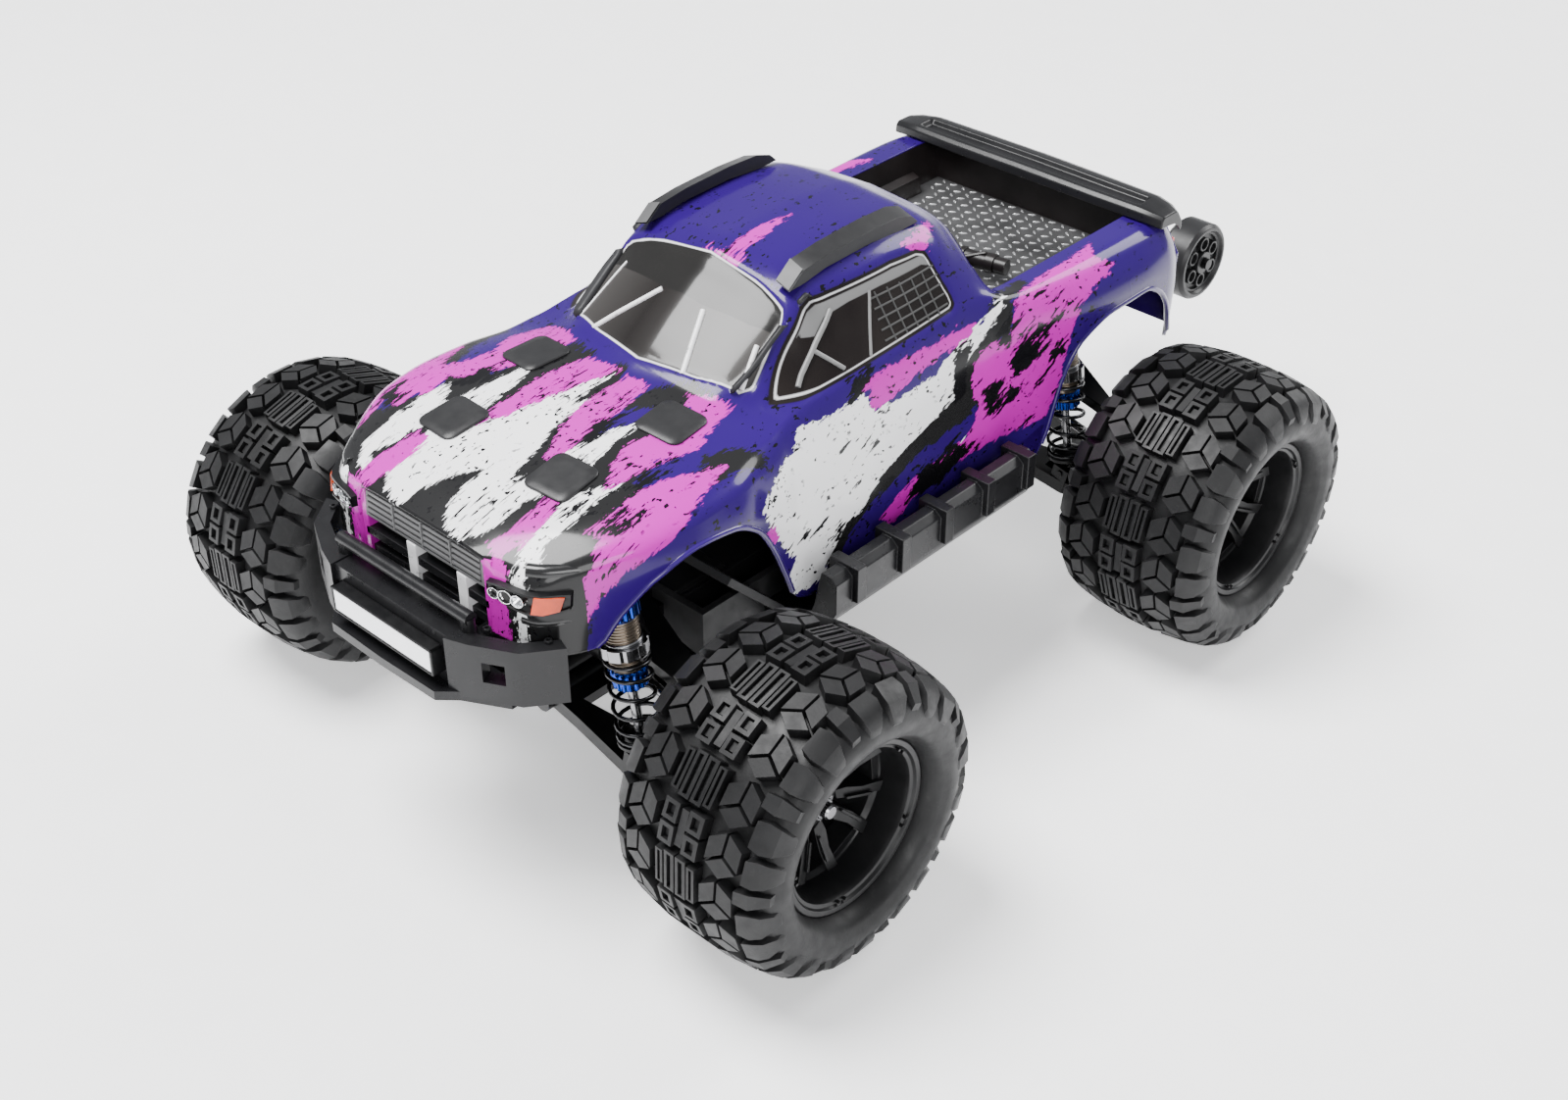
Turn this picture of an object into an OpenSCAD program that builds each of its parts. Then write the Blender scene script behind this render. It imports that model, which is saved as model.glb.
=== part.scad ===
// Radio-controlled monster truck, about one sixteenth scale.
// Origin: on the ground, in the mirror plane, halfway between the axles.
// +X is the truck's left, -Y is the front, +Z is up.

/* [Overall] */
// Distance between the axles
wheelbase = 194; // [185:1:205]
// Middle of each tyre from the mirror plane
track_half = 98.5; // [96:0.5:104]
// Height at which the chassis floor sits
floor_z = 42; // [40:1:46]

/* [Wheels] */
// Outer radius of a tyre
tyre_r = 46.5; // [45:0.5:50]
// Width of a tyre at its sidewalls
tyre_w = 55; // [50:1:58]
// Radius of the rim's lip
rim_r = 26.5; // [26:0.5:28]

/* [Suspension] */
// Half the distance between the lower hinge pins
hinge_x = 18; // [18:0.5:20]
// Height of the lower hinge pins
hinge_z = 44; // [43:0.5:46]
// Run of an arm from its inner pin to its outer pin
arm_run = 48; // [46:0.5:49]
// Drop of an arm from its inner pin to its outer pin
arm_drop = 11; // [9:0.5:12]
// Height of the upper arm above the lower one
arm_gap = 28; // [27:0.5:29]
// Steering pivot from the mirror plane
kingpin_x = 72; // [71:0.5:73]

/* [Shocks] */
// Top pin of a shock from the mirror plane
shock_top_x = 44; // [42:0.5:45]
// Height of a shock's top pin
shock_top_z = 97; // [95:0.5:98]
// Lower pin of a shock from the mirror plane
shock_low_x = 53; // [50:0.5:54]
// Height of a shock's lower pin
shock_low_z = 41; // [40:0.5:42]
// Wire thickness of a spring
wire_d = 1.3; // [1:0.1:1.5]

/* [Gears] */
// Size of one gear tooth
gear_module = 0.8; // [0.7:0.05:0.85]
// Teeth of the spur gear
spur_teeth = 34; // [30:1:36]
// Teeth of the motor's pinion
pinion_teeth = 13; // [12:1:15]

/* [Body shell] */
// Wall of the body shell
shell_t = 1.5; // [1.2:0.1:1.6]

/* [Hidden] */
CORNERS = [["fl", 1, -1], ["fr", -1, -1], ["rl", 1, 1], ["rr", -1, 1]];
FRONT_PARTS = ["tyre", "rim", "c_hub", "knuckle", "lower_arm", "upper_arm",
               "shock_body", "shock_rod", "spring", "half_shaft"];
REAR_PARTS = ["tyre", "rim", "hub_carrier", "lower_arm", "upper_arm",
              "shock_body", "shock_rod", "spring", "half_shaft"];
SINGLES = ["chassis_tub", "gearboxes", "front_shock_tower", "rear_shock_tower",
           "front_bumper", "light_bar", "wheelie_bar", "wheelie_wheels", "side_steps",
           "battery", "motor", "pinion", "centre_shaft", "steering_servo",
           "steering_rack", "tie_rod_l", "tie_rod_r", "control_box",
           "body_shell", "roof_rails", "spoiler", "headlights"];

axle_y = wheelbase / 2;
axle_z = tyre_r;
arm_len = sqrt(arm_run * arm_run + arm_drop * arm_drop);
arm_tilt = atan2(arm_drop, arm_run);
outer_x = hinge_x + arm_run;
shaft_z = 57.5;                       // height of the differential outputs
shaft_in_x = 24;                      // inner joint of a half shaft
pin_r = 1.5;
eye_pin_r = 1.1;                      // pin in a shock's lower eye
fit = 0.08;                           // radial clearance of a running fit
gap = 0.35;                           // clearance between faces that pass each other
tub_w = 40;                           // half-width of the tub
front_shock_dy = -13;                 // shocks stand ahead of the axle
rear_shock_dy = -9;
shock_len = norm([shock_low_x - shock_top_x, shock_low_z - shock_top_z]);
shock_tilt = atan2(shock_low_x - shock_top_x, shock_top_z - shock_low_z);
spur_z = 60;                          // height of the centre shaft
spur_y = 62;
mesh_dist = gear_module * (spur_teeth + pinion_teeth) / 2;
mesh_angle = 20;                      // the pinion sits up and to the left of the spur
pinion_x = mesh_dist * cos(mesh_angle);
pinion_z = spur_z + mesh_dist * sin(mesh_angle);
rack_y = -axle_y + 16;                // steering rack behind the front axle
rack_end_x = 24;
steer_arm_x = 66;
steer_z = 48;                         // height of a tie rod's outer ball
rack_z = steer_z + (steer_arm_x - rack_end_x) * tan(arm_tilt);
wheelie_y = 201;
wheelie_z = 66;
wheelie_r = 14.5;

function shock_dy(e) = e < 0 ? front_shock_dy : rear_shock_dy;

$fn = 48;

// ---------- helpers ----------

// Puts its children at a corner: they are drawn for the left side, y = 0 at the axle.
module at_corner(c) {
    mirror([c[1] < 0 ? 1 : 0, 0, 0]) translate([0, c[2] * axle_y, 0]) children();
}

// A cylinder along X from x1 to x2.
module rod_x(r, x1, x2) {
    translate([x1, 0, 0]) rotate([0, 90, 0]) cylinder(r = r, h = x2 - x1);
}

// A cylinder along Y from y1 to y2.
module rod_y(r, y1, y2) {
    translate([0, y1, 0]) rotate([-90, 0, 0]) cylinder(r = r, h = y2 - y1);
}

// A box from its low corner to its high corner.
module block(low, high) {
    translate(low) cube(high - low);
}

// A solid of revolution about X, from a profile of [x, radius] points.
module turned_x(profile) {
    rotate([0, 90, 0]) rotate([0, 0, 90]) rotate_extrude($fn = 72)
        polygon([for (p = profile) [p[1], p[0]]]);
}

// Moves to a point and turns the local X axis down by the arm's tilt.
module along_arm(x, z) {
    translate([x, 0, z]) rotate([0, arm_tilt, 0]) children();
}

// Moves to a shock's top pin and turns local -Z to point at its lower pin.
module along_shock(e) {
    translate([shock_top_x, shock_dy(e), shock_top_z]) rotate([0, -shock_tilt, 0]) children();
}

// ---------- wheels ----------

// Hollow carcass, open towards the rim; the tread is smooth.
module tyre(c) {
    crown = [for (i = [-6:6]) [i * 3.7, tyre_r - 2.2 * pow(i / 6, 2)]];
    half = tyre_w / 2;
    wall = 3.5;
    bead = rim_r - 2.35;
    inside = [for (i = [6:-1:-6]) [i * 3.6, tyre_r - wall - 2.2 * pow(i / 6, 2)]];
    color([0.12, 0.12, 0.13]) at_corner(c) translate([track_half, 0, axle_z])
        turned_x(concat([[-half + 5, bead], [-half + 1, rim_r + 2], [-half, 35], [-half + 1, 41.5]],
                        crown,
                        [[half - 1, 41.5], [half, 35], [half - 1, rim_r + 4], [half - 4, rim_r + 1],
                         [half - 7.6, rim_r + 0.1], [half - 10.2, bead], [half - 13, bead], [half - wall, 34]],
                        inside,
                        [[-half + wall, 34], [-half + 9, bead]]));
}

// Rim with its barrel, lips, hub and five split spokes, the stub axle, hex and wheel nut.
module rim(c) {
    bead = rim_r - 2.4;
    inner = tyre_w / 2 - 5;
    lip = 21.2;
    hub_r = 9;
    color([0.2, 0.2, 0.21]) at_corner(c) translate([track_half, 0, axle_z]) {
        turned_x([[-inner, bead], [lip - 3.6, bead], [lip - 1.2, rim_r], [lip, rim_r], [lip, rim_r - 1.3],
                  [lip - 1.8, rim_r - 2.6], [lip - 3.3, bead - 1.6], [-inner, bead - 1.6]]);
        difference() {
            union() {
                turned_x([[-6, 0], [-6, hub_r], [4, hub_r], [6, hub_r - 1.5], [6, 0]]);
                for (a = [0:72:359]) rotate([a, 0, 0]) for (side = [-1, 1])
                    translate([-1, side * 3 - 1.4, hub_r - 2]) cube([6, 2.8, bead - hub_r + 1.2]);
            }
            rod_x(2.6, -7, 7);
        }
        difference() {
            rod_x(2.5, -12, 13);
            rod_x(1, -12.5, -11);
        }
        translate([6.05, 0, 0]) rotate([0, 90, 0]) cylinder(r = 4.6, h = 4, $fn = 6);
        translate([-11, 0, 0]) rotate([0, 90, 0]) cylinder(r = 6.4, h = 4.9, $fn = 6);
        difference() {
            rod_x(5.6, kingpin_x - 4.5 - track_half, -15);
            rod_x(4.4, kingpin_x - 5 - track_half, -20);
        }
        rod_x(2.5, -15.2, -11.5);
    }
}

// ---------- suspension ----------

module arm_plate(points, thick) {
    translate([0, 0, -thick / 2]) linear_extrude(thick) polygon(points);
}

module lower_arm(c) {
    dy = shock_dy(c[2]);
    ear = 11.5;
    sx = (shock_low_x - hinge_x) * cos(arm_tilt) + (hinge_z - shock_low_z) * sin(arm_tilt);
    sz = (shock_low_x - hinge_x) * sin(arm_tilt) - (hinge_z - shock_low_z) * cos(arm_tilt);
    color([0.13, 0.13, 0.14]) at_corner(c) along_arm(hinge_x, hinge_z) difference() {
        union() {
            rod_y(3.4, -17, 17);
            difference() {
                arm_plate([[0, -17], [12, -17], [arm_len - 12, dy - 5], [arm_len - 8, -ear],
                           [arm_len + 1, -ear], [arm_len + 1, ear], [arm_len - 8, ear], [12, 17], [0, 17]], 4.6);
                arm_plate([[8, -11], [26, dy + 7], [28, 0], [26, 8], [8, 12]], 6);
            }
            for (side = [-1, 1]) translate([arm_len, side * 8.5, 0]) rod_y(3.4, -3, 3);
            for (side = [-1, 1]) translate([sx, dy + side * 3.9, 0])
                block([-3, -1.2, -2], [3, 1.2, sz + 2.2]);
        }
        rod_y(pin_r + fit, -18, 18);
        translate([arm_len, 0, 0]) rod_y(pin_r + fit, -12, 12);
        block([arm_len - 7.5, -5.4, -6], [arm_len + 5, 5.4, 6]);
        translate([sx, dy, sz]) block([-7.5, -2.6, -7], [7.5, 2.6, 7]);
        translate([sx, dy, sz]) rod_y(eye_pin_r, -6, 6);
    }
    color([0.7, 0.7, 0.72]) at_corner(c) translate([shock_low_x, dy, shock_low_z]) rod_y(eye_pin_r, -5.6, 5.6);
}

module upper_arm(c) {
    y0 = shock_dy(c[2]) + 7;
    y1 = y0 + 19;
    color([0.13, 0.13, 0.14]) at_corner(c) along_arm(hinge_x, hinge_z + arm_gap) difference() {
        union() {
            rod_y(3, y0, y1);
            difference() {
                arm_plate([[0, y0], [arm_len - 6, max(y0, -4.2)], [arm_len - 6, -4.2], [arm_len, -4.2],
                           [arm_len, 4.2], [arm_len - 8, 4.2], [10, y1], [0, y1]], 3.6);
                arm_plate([[7, y0 + 4], [24, y0 + 5], [24, y0 + 8], [9, y1 - 4], [7, y1 - 4]], 5);
            }
            translate([arm_len, 0, 0]) rod_y(3, -4.2, 4.2);
        }
        rod_y(pin_r + fit, y0 - 1, y1 + 1);
        translate([arm_len, 0, 0]) rod_y(pin_r + fit, -6, 6);
    }
}

// Lugs and pins by which a hub carrier or steering block hangs on its two arms.
module carrier_lugs() {
    translate([outer_x, 0, hinge_z - arm_drop]) {
        rod_y(3.2, -5, 5);
        block([-1.5, -5, 0], [0.5, 5, 7]);
        rod_y(pin_r, -10.8, 10.8);
    }
    translate([outer_x, 0, hinge_z - arm_drop + arm_gap]) {
        for (side = [-1, 1]) translate([0, side * 5.8, 0]) {
            rod_y(3, -1.2, 1.2);
            block([-1.5, -1.2, -5.6], [2.5, 1.2, 0]);
        }
        rod_y(pin_r, -6.9, 6.9);
    }
}

module c_hub(c) {
    low = hinge_z - arm_drop;
    color([0.16, 0.16, 0.17]) at_corner(c) {
        carrier_lugs();
        difference() {
            union() {
                block([outer_x - 3.5, -9.5, low + 5.8], [outer_x, 9.5, low + 17.5]);
                block([outer_x - 3.5, -7, low + 17], [outer_x, 7, low + arm_gap - 8.5]);
                block([outer_x - 3.5, -5, low - 1], [outer_x + 10.5, 5, low + 3.4]);
                block([outer_x - 3.5, -5, low + 2], [outer_x, 5, low + 6]);
                block([outer_x + 3.4, -6, low + arm_gap - 3.4], [outer_x + 10.5, 6, low + arm_gap]);
                block([outer_x - 3.5, -7, low + arm_gap - 8.8], [outer_x, 7, low + arm_gap - 3]);
                for (side = [-1, 1]) translate([0, side * 5.8, 0])
                    block([outer_x - 1.5, -1.2, low + arm_gap - 3.4], [outer_x + 4, 1.2, low + arm_gap - 0.5]);
            }
            translate([0, 0, axle_z]) rod_x(7.2, outer_x - 5, outer_x + 1);
            translate([kingpin_x, 0, 0]) cylinder(r = pin_r + fit, h = 100);
        }
    }
}

module knuckle(c) {
    low = hinge_z - arm_drop;
    color([0.18, 0.18, 0.19]) at_corner(c) difference() {
        union() {
            translate([kingpin_x, 0, low + 3.4 + gap]) cylinder(r = 5, h = arm_gap - 6.8 - 2 * gap);
            translate([0, 0, axle_z]) rod_x(8.6, kingpin_x - 1.5, 83);
            translate([kingpin_x, 0, low - 0.8]) cylinder(r = pin_r, h = arm_gap + 0.6);
            // steering arm, behind the kingpin
            block([steer_arm_x - 2, 12, steer_z + 3.8], [kingpin_x + 2, 19, steer_z + 6.8]);
            block([kingpin_x - 2, 3, steer_z + 3.8], [kingpin_x + 2, 14, steer_z + 6.8]);
        }
        translate([0, 0, axle_z]) rod_x(5.6 + fit, kingpin_x - 8, 83.3);
    }
}

// Rear upright: the lugs, a web and the bearing housing in one piece.
module hub_carrier(c) {
    low = hinge_z - arm_drop;
    color([0.16, 0.16, 0.17]) at_corner(c) {
        carrier_lugs();
        difference() {
            union() {
                block([outer_x - 3.5, -9.5, low + 5.8], [outer_x + 2.5, 9.5, low + arm_gap - 6]);
                block([outer_x - 3.5, -5, low + 2], [outer_x + 2.5, 5, low + 6]);
                block([outer_x - 3.5, -7, low + arm_gap - 8.8], [outer_x + 2.5, 7, low + arm_gap - 3.8]);
                translate([0, 0, axle_z]) rod_x(8.6, outer_x - 3.5, 83);
            }
            translate([0, 0, axle_z]) rod_x(5.6 + fit, outer_x + 1, 83.3);
            translate([0, 0, axle_z]) rod_x(7.2, outer_x - 5, outer_x + 1);
        }
    }
}

// Rod with a ball at each end, between a differential output and a stub axle's cup.
module half_shaft(c) {
    far_x = kingpin_x - 2;
    run = norm([far_x - shaft_in_x, shaft_z - axle_z]);
    color([0.55, 0.55, 0.57]) at_corner(c) translate([shaft_in_x, 0, shaft_z])
        rotate([0, atan2(shaft_z - axle_z, far_x - shaft_in_x), 0]) {
            rod_x(pin_r, 0, run);
            sphere(r = 2.6);
            translate([run, 0, 0]) sphere(r = 2.6);
            rod_x(3, 6, 9);
        }
}

// ---------- shocks ----------

module shock_body(c) {
    color([0.1, 0.25, 0.75]) at_corner(c) along_shock(c[2]) {
        difference() {
            union() {
                rod_y(3.6, -2.4, 2.4);
                translate([0, 0, -11]) cylinder(r = 6.2, h = 8);
            }
            rod_y(pin_r + fit, -3, 3);
        }
        difference() {
            union() {
                translate([0, 0, -33]) cylinder(r = 5, h = 22.5);
                translate([0, 0, -18]) cylinder(r = 6.8, h = 4);
                translate([0, 0, -33.5]) cylinder(r = 5.2, h = 5);
            }
            translate([0, 0, -34]) cylinder(r = 1.5 + fit, h = 20);
        }
    }
}

module shock_rod(c) {
    color([0.75, 0.75, 0.77]) at_corner(c) along_shock(c[2]) {
        translate([0, 0, -shock_len + 2.8]) cylinder(r = 1.5, h = shock_len - 2.8 - 31);
        difference() {
            union() {
                translate([0, 0, -shock_len]) rod_y(4.1, -2, 2);
                translate([0, 0, -shock_len + 4.5]) cylinder(r = 6.8, h = 1.6);
                translate([0, 0, -shock_len + 2.5]) cylinder(r = 2.4, h = 5);
            }
            translate([0, 0, -shock_len]) rod_y(eye_pin_r + 1.7, -4, 4);
        }
    }
}

// One point of the coil's wire: t counts turns, a goes round the wire.
function coil_point(t, a, r, h0, h1, turns) =
    let (z = h0 + (h1 - h0) * t / turns,
         rr = r + wire_d / 2 * cos(a))
    [rr * cos(360 * t), rr * sin(360 * t), z + wire_d / 2 * sin(a)];

module coil(r, h0, h1, turns) {
    sides = 6;
    steps = 14 * turns;
    points = [for (i = [0:steps]) for (k = [0:sides - 1])
        coil_point(i * turns / steps, k * 360 / sides, r, h0, h1, turns)];
    skin = [for (i = [0:steps - 1]) for (k = [0:sides - 1])
        let (n = (k + 1) % sides)
        [i * sides + k, (i + 1) * sides + k, (i + 1) * sides + n, i * sides + n]];
    ends = [[for (k = [0:sides - 1]) k], [for (k = [sides - 1:-1:0]) steps * sides + k]];
    polyhedron(points, concat(skin, ends), convexity = 10);
}

module spring(c) {
    color([0.78, 0.78, 0.8]) at_corner(c) along_shock(c[2])
        coil(6.1, -shock_len + 6.2 + wire_d / 2, -18.2 - wire_d / 2, 6);
}

// ---------- chassis ----------

module chassis_tub() {
    wall = 2.4;
    end_y = 73;
    top = 62;
    color([0.3, 0.3, 0.31]) {
        difference() {
            block([-tub_w, -end_y, floor_z], [tub_w, end_y, top]);
            block([-tub_w + wall, -end_y + wall, floor_z + 3], [tub_w - wall, end_y - wall, top + 1]);
            for (side = [-1, 1]) translate([0, side * end_y, spur_z]) rod_y(4.5, -wall - 1, wall + 1);
        }
        // floor rails that carry the gearboxes
        for (side = [-1, 1]) scale([1, side, 1])
            block([-13, end_y - 1, floor_z], [13, axle_y + 17, floor_z + 3]);
        // splash guards behind the front wheels
        for (side = [-1, 1]) scale([side, 1, 1]) difference() {
            translate([tub_w - 10, -52, 60]) rotate([45, 0, 0]) block([0, -2.4, -4], [20, 0, 27]);
            block([0, -100, 40], [tub_w, 0, top]);
        }
    }
}

module gearbox(e) {
    y0 = shock_dy(e) + 7;
    translate([0, e * axle_y, 0]) {
        difference() {
            union() {
                block([-13, -17, floor_z + 3.05], [13, 17, 68]);
                for (side = [-1, 1]) scale([side, 1, 1]) {
                    translate([0, 0, shaft_z]) rod_x(5, 12, 27);
                    for (y = [-19.8, 17.4]) {
                        block([11, y, hinge_z + 1.4], [hinge_x + 3, y + 2.4, hinge_z + 3.5]);
                        translate([hinge_x, 0, hinge_z]) rod_y(3.2, y, y + 2.4);
                        block([11, y, floor_z + 3.05], [hinge_x, y + 2.4, hinge_z + 3.5]);
                        block([11, min(y, y + 3), hinge_z + 1.4], [13, max(y + 2.4, y - 1), hinge_z + 10]);
                    }
                    for (y = [y0 - 2.8, y0 + 19.4]) {
                        block([8, y, 64], [14, y + 2.4, hinge_z + arm_gap + 3]);
                        block([8, y, hinge_z + arm_gap - 3], [hinge_x, y + 2.4, hinge_z + arm_gap + 3]);
                        translate([hinge_x, 0, hinge_z + arm_gap]) rod_y(3, y, y + 2.4);
                    }
                    block([-13, y0 - 2.8, 66], [13, y0 + 21.8, 68]);
                }
            }
            for (side = [-1, 1]) scale([side, 1, 1]) translate([0, 0, shaft_z]) rod_x(3.7, 20, 28);
            translate([0, -e * 17, spur_z]) rod_y(2 + fit, -8, 8);
        }
        for (side = [-1, 1]) scale([side, 1, 1]) {
            translate([hinge_x, 0, hinge_z]) rod_y(pin_r, -19.8, 19.8);
            translate([hinge_x, 0, hinge_z + arm_gap]) rod_y(pin_r, y0 - 2.8, y0 + 21.8);
        }
    }
}

module gearboxes() {
    color([0.17, 0.17, 0.18]) {
        gearbox(-1);
        gearbox(1);
    }
}

// Plate across the car that carries the top pins of a pair of shocks.
module shock_tower(e, post_x, post_top) {
    y0 = shock_dy(e) + 6.6;
    translate([0, e * axle_y + y0, 0]) {
        difference() {
            rotate([90, 0, 0]) translate([0, 0, -3]) linear_extrude(3)
                polygon([[-10, 68.2], [10, 68.2], [12, 82], [34, 86], [shock_top_x + 5, 91],
                         [shock_top_x + 5, 101], [38, 101.5], [24, 97], [-24, 97], [-38, 101.5],
                         [-shock_top_x - 5, 101], [-shock_top_x - 5, 91], [-34, 86], [-12, 82]]);
            for (side = [-1, 1]) translate([side * 22, 0, 91]) rod_y(2.4, -1, 4);
        }
        for (side = [-1, 1]) {
            translate([side * shock_top_x, 0, shock_top_z]) rod_y(pin_r, -9.6, 0.5);
            translate([side * post_x, 1.5, 94]) cylinder(r = 2.6, h = post_top - 94);
        }
    }
}

module front_shock_tower() {
    color([0.12, 0.12, 0.13]) shock_tower(-1, 20, 112);
}

module rear_shock_tower() {
    color([0.12, 0.12, 0.13]) shock_tower(1, 20, 102.5);
}

module front_bumper() {
    color([0.1, 0.1, 0.11]) {
        difference() {
            union() {
                // centre beam behind the light bar
                block([-26, -150.5, 71], [26, -142, 90]);
                for (side = [-1, 1]) scale([side, 1, 1]) {
                    // wing, angled back towards the wheel
                    translate([0, 0, 72.5]) linear_extrude(18)
                        polygon([[24, -152], [31, -149.5], [43.5, -143], [51, -133], [47, -131.5],
                                 [40.5, -139.5], [30, -144.5], [24, -145]]);
                    // lip below the light bar
                    translate([0, 0, 70.5]) linear_extrude(3)
                        polygon([[0, -156], [22, -155.5], [27, -151], [40, -144], [40, -138], [0, -138]]);
                }
            }
            for (side = [-1, 1])
                translate([side * 37, -147, 82]) rotate([0, 0, side * 27]) cube([6.5, 20, 6.5], true);
        }
        // struts back to the gearbox, and the skid plate under them
        for (side = [-1, 1]) translate([side * 8 - 2.5, -143, 71]) cube([5, 28.8, 4]);
        rotate([90, 0, 90]) translate([0, 0, -11]) linear_extrude(22)
            polygon([[-149, 70.6], [-146, 70.6], [-114.2, 48.5], [-114.2, 45.2], [-118, 45.2]]);
        block([-10.5, -116, 45.2], [10.5, -114.2, 76]);
        // hoop above the beam
        for (side = [-1, 1]) translate([side * 26, -145, 89]) cylinder(r = 2, h = 5.5);
        translate([0, -145, 94.5]) rod_x(2, -27.5, 27.5);
    }
}

module light_bar() {
    color([0.92, 0.93, 0.95]) difference() {
        block([-21.5, -155, 77.5], [21.5, -150.55, 86]);
        for (i = [-2.5:1:2.5]) translate([i * 7, -155.5, 81.75]) rod_y(2.6, 0, 1.5);
    }
}

module wheelie_bar() {
    color([0.12, 0.12, 0.13]) {
        translate([0, 0, 53]) linear_extrude(4.5)
            polygon([[-10, 114.1], [10, 114.1], [8, 150], [7, 178], [-7, 178], [-8, 150]]);
        rotate([90, 0, 90]) translate([0, 0, -7]) linear_extrude(14)
            polygon([[174, 53], [178, 53], [205, 63], [205, 69], [200, 69.5], [174, 57.5]]);
        for (side = [-1, 1]) scale([side, 1, 1])
            translate([0, wheelie_y, wheelie_z]) difference() {
                rod_x(3.4, 6, 15.5);
                rod_x(1, 15, 16);
            }
        translate([0, wheelie_y, wheelie_z]) rod_x(2, -31, 31);
        block([-10, 114.1, 46], [10, 116.5, 63.5]);
    }
}

module wheelie_wheels() {
    color([0.14, 0.14, 0.15]) for (side = [-1, 1])
        translate([side * 23, wheelie_y, wheelie_z]) difference() {
            turned_x([[-6, 2 + fit], [-6, wheelie_r - 1], [-4.5, wheelie_r], [4.5, wheelie_r],
                      [6, wheelie_r - 1], [6, 2 + fit]]);
            for (a = [0:60:359]) rotate([a, 0, 0]) translate([0, 0, 6.6]) rod_x(2.1, -7, 7);
        }
}

module side_steps() {
    color([0.1, 0.1, 0.11]) for (side = [-1, 1]) scale([side, 1, 1]) {
        // long bar with a chamfered section, above the tub's side
        rotate([90, 0, 0]) translate([0, 0, -46]) linear_extrude(93)
            polygon([[tub_w + 0.05, 46], [58, 50], [66, 58], [68, 62], [68, 72], [65.5, 74], [62, 74],
                     [59.5, 62], [57, 55.2], [tub_w + 0.05, 53]]);
        for (i = [0:4]) translate([59, -40 + i * 20, 63]) cube([11, 4, 12]);
    }
}

// ---------- drive and electronics ----------

module battery() {
    color([0.1, 0.25, 0.45]) {
        block([-tub_w + 3, -44, floor_z + 3.05], [-7.5, 50, floor_z + 23]);
        block([-30, 50, floor_z + 9], [-18, 56, floor_z + 17]);
    }
}

module motor() {
    color([0.6, 0.6, 0.62]) translate([pinion_x, 0, pinion_z]) difference() {
        union() {
            rod_y(13.2, 22, 56);
            rod_y(5, 19.5, 22);
            // mounting plate
            block([-11.5, 56, -16], [13, 58.5, 13]);
        }
        rod_y(2, 55, 59);
    }
}

// Outline of one gear with involute flanks, thinned a little for backlash.
function involute(r, base) = let (a = acos(min(1, base / r))) tan(a) * 180 / PI - a;
function gear_outline(teeth) =
    let (pitch = gear_module * teeth / 2,
         base = pitch * cos(20),
         root = pitch - 1.15 * gear_module,
         tip = pitch + 0.9 * gear_module,
         half = 90 / teeth * 0.9 + involute(pitch, base),
         radii = [for (i = [0:4]) max(base, root) + (tip - max(base, root)) * i / 4])
    [for (t = [0:teeth - 1]) let (mid = t * 360 / teeth) each concat(
        [[root, mid - half - 1.2]],
        [for (r = radii) [r, mid - half + involute(r, base)]],
        [for (i = [4:-1:0]) [radii[i], mid + half - involute(radii[i], base)]],
        [[root, mid + half + 1.2]])];

module gear_2d(teeth, turn) {
    polygon([for (p = gear_outline(teeth)) [p[0] * cos(p[1] + turn), p[0] * sin(p[1] + turn)]]);
}

// Gears are drawn in a plane across the car: their local y points up.
module pinion() {
    color([0.75, 0.68, 0.4]) translate([pinion_x, spur_y + 2, pinion_z]) rotate([90, 0, 0]) {
        linear_extrude(4) gear_2d(pinion_teeth, 180 + mesh_angle + 180 / pinion_teeth);
        translate([0, 0, -2]) cylinder(r = 3, h = 2);
        translate([0, 0, 3.9]) cylinder(r = 1.5, h = 4.9);
    }
}

module centre_shaft() {
    color([0.6, 0.6, 0.62]) translate([0, 0, spur_z]) {
        rod_y(2, -axle_y + 10, axle_y - 10);
        translate([0, spur_y + 2, 0]) rotate([90, 0, 0]) {
            linear_extrude(4) gear_2d(spur_teeth, mesh_angle);
            translate([0, 0, -3]) cylinder(r = 5, h = 10);
        }
    }
}

module steering_servo() {
    color([0.12, 0.12, 0.13]) {
        block([6, -70, floor_z + 3.05], [26, -30, floor_z + 16]);
        block([8, -68, floor_z + 16], [24, -48, floor_z + 17.5]);
    }
}

module control_box() {
    color([0.15, 0.15, 0.16]) {
        block([5, -22, floor_z + 3.05], [35, 14, floor_z + 20]);
        for (i = [0:5]) translate([8 + i * 4.2, -18, floor_z + 19.9]) cube([1.6, 22, 4]);
    }
}

// Cross bar that carries both tie rods from side to side.
module steering_rack() {
    color([0.2, 0.2, 0.21]) translate([0, rack_y, 0]) {
        // bridge over the gearbox's nose and the centre shaft
        block([-rack_end_x + 3.2, 3.2, rack_z + 12.6], [rack_end_x - 3.2, 6.4, rack_z + 16]);
        for (side = [-1, 1]) scale([side, 1, 1]) {
            block([rack_end_x - 6.2, 3.2, rack_z - 2], [rack_end_x - 3.2, 6.4, rack_z + 15]);
            translate([rack_end_x, 0, rack_z]) {
                rod_y(pin_r, -3.5, 6.4);
                block([-5, 3.2, -2], [1.5, 6.4, 2]);
            }
        }
    }
}

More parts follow.
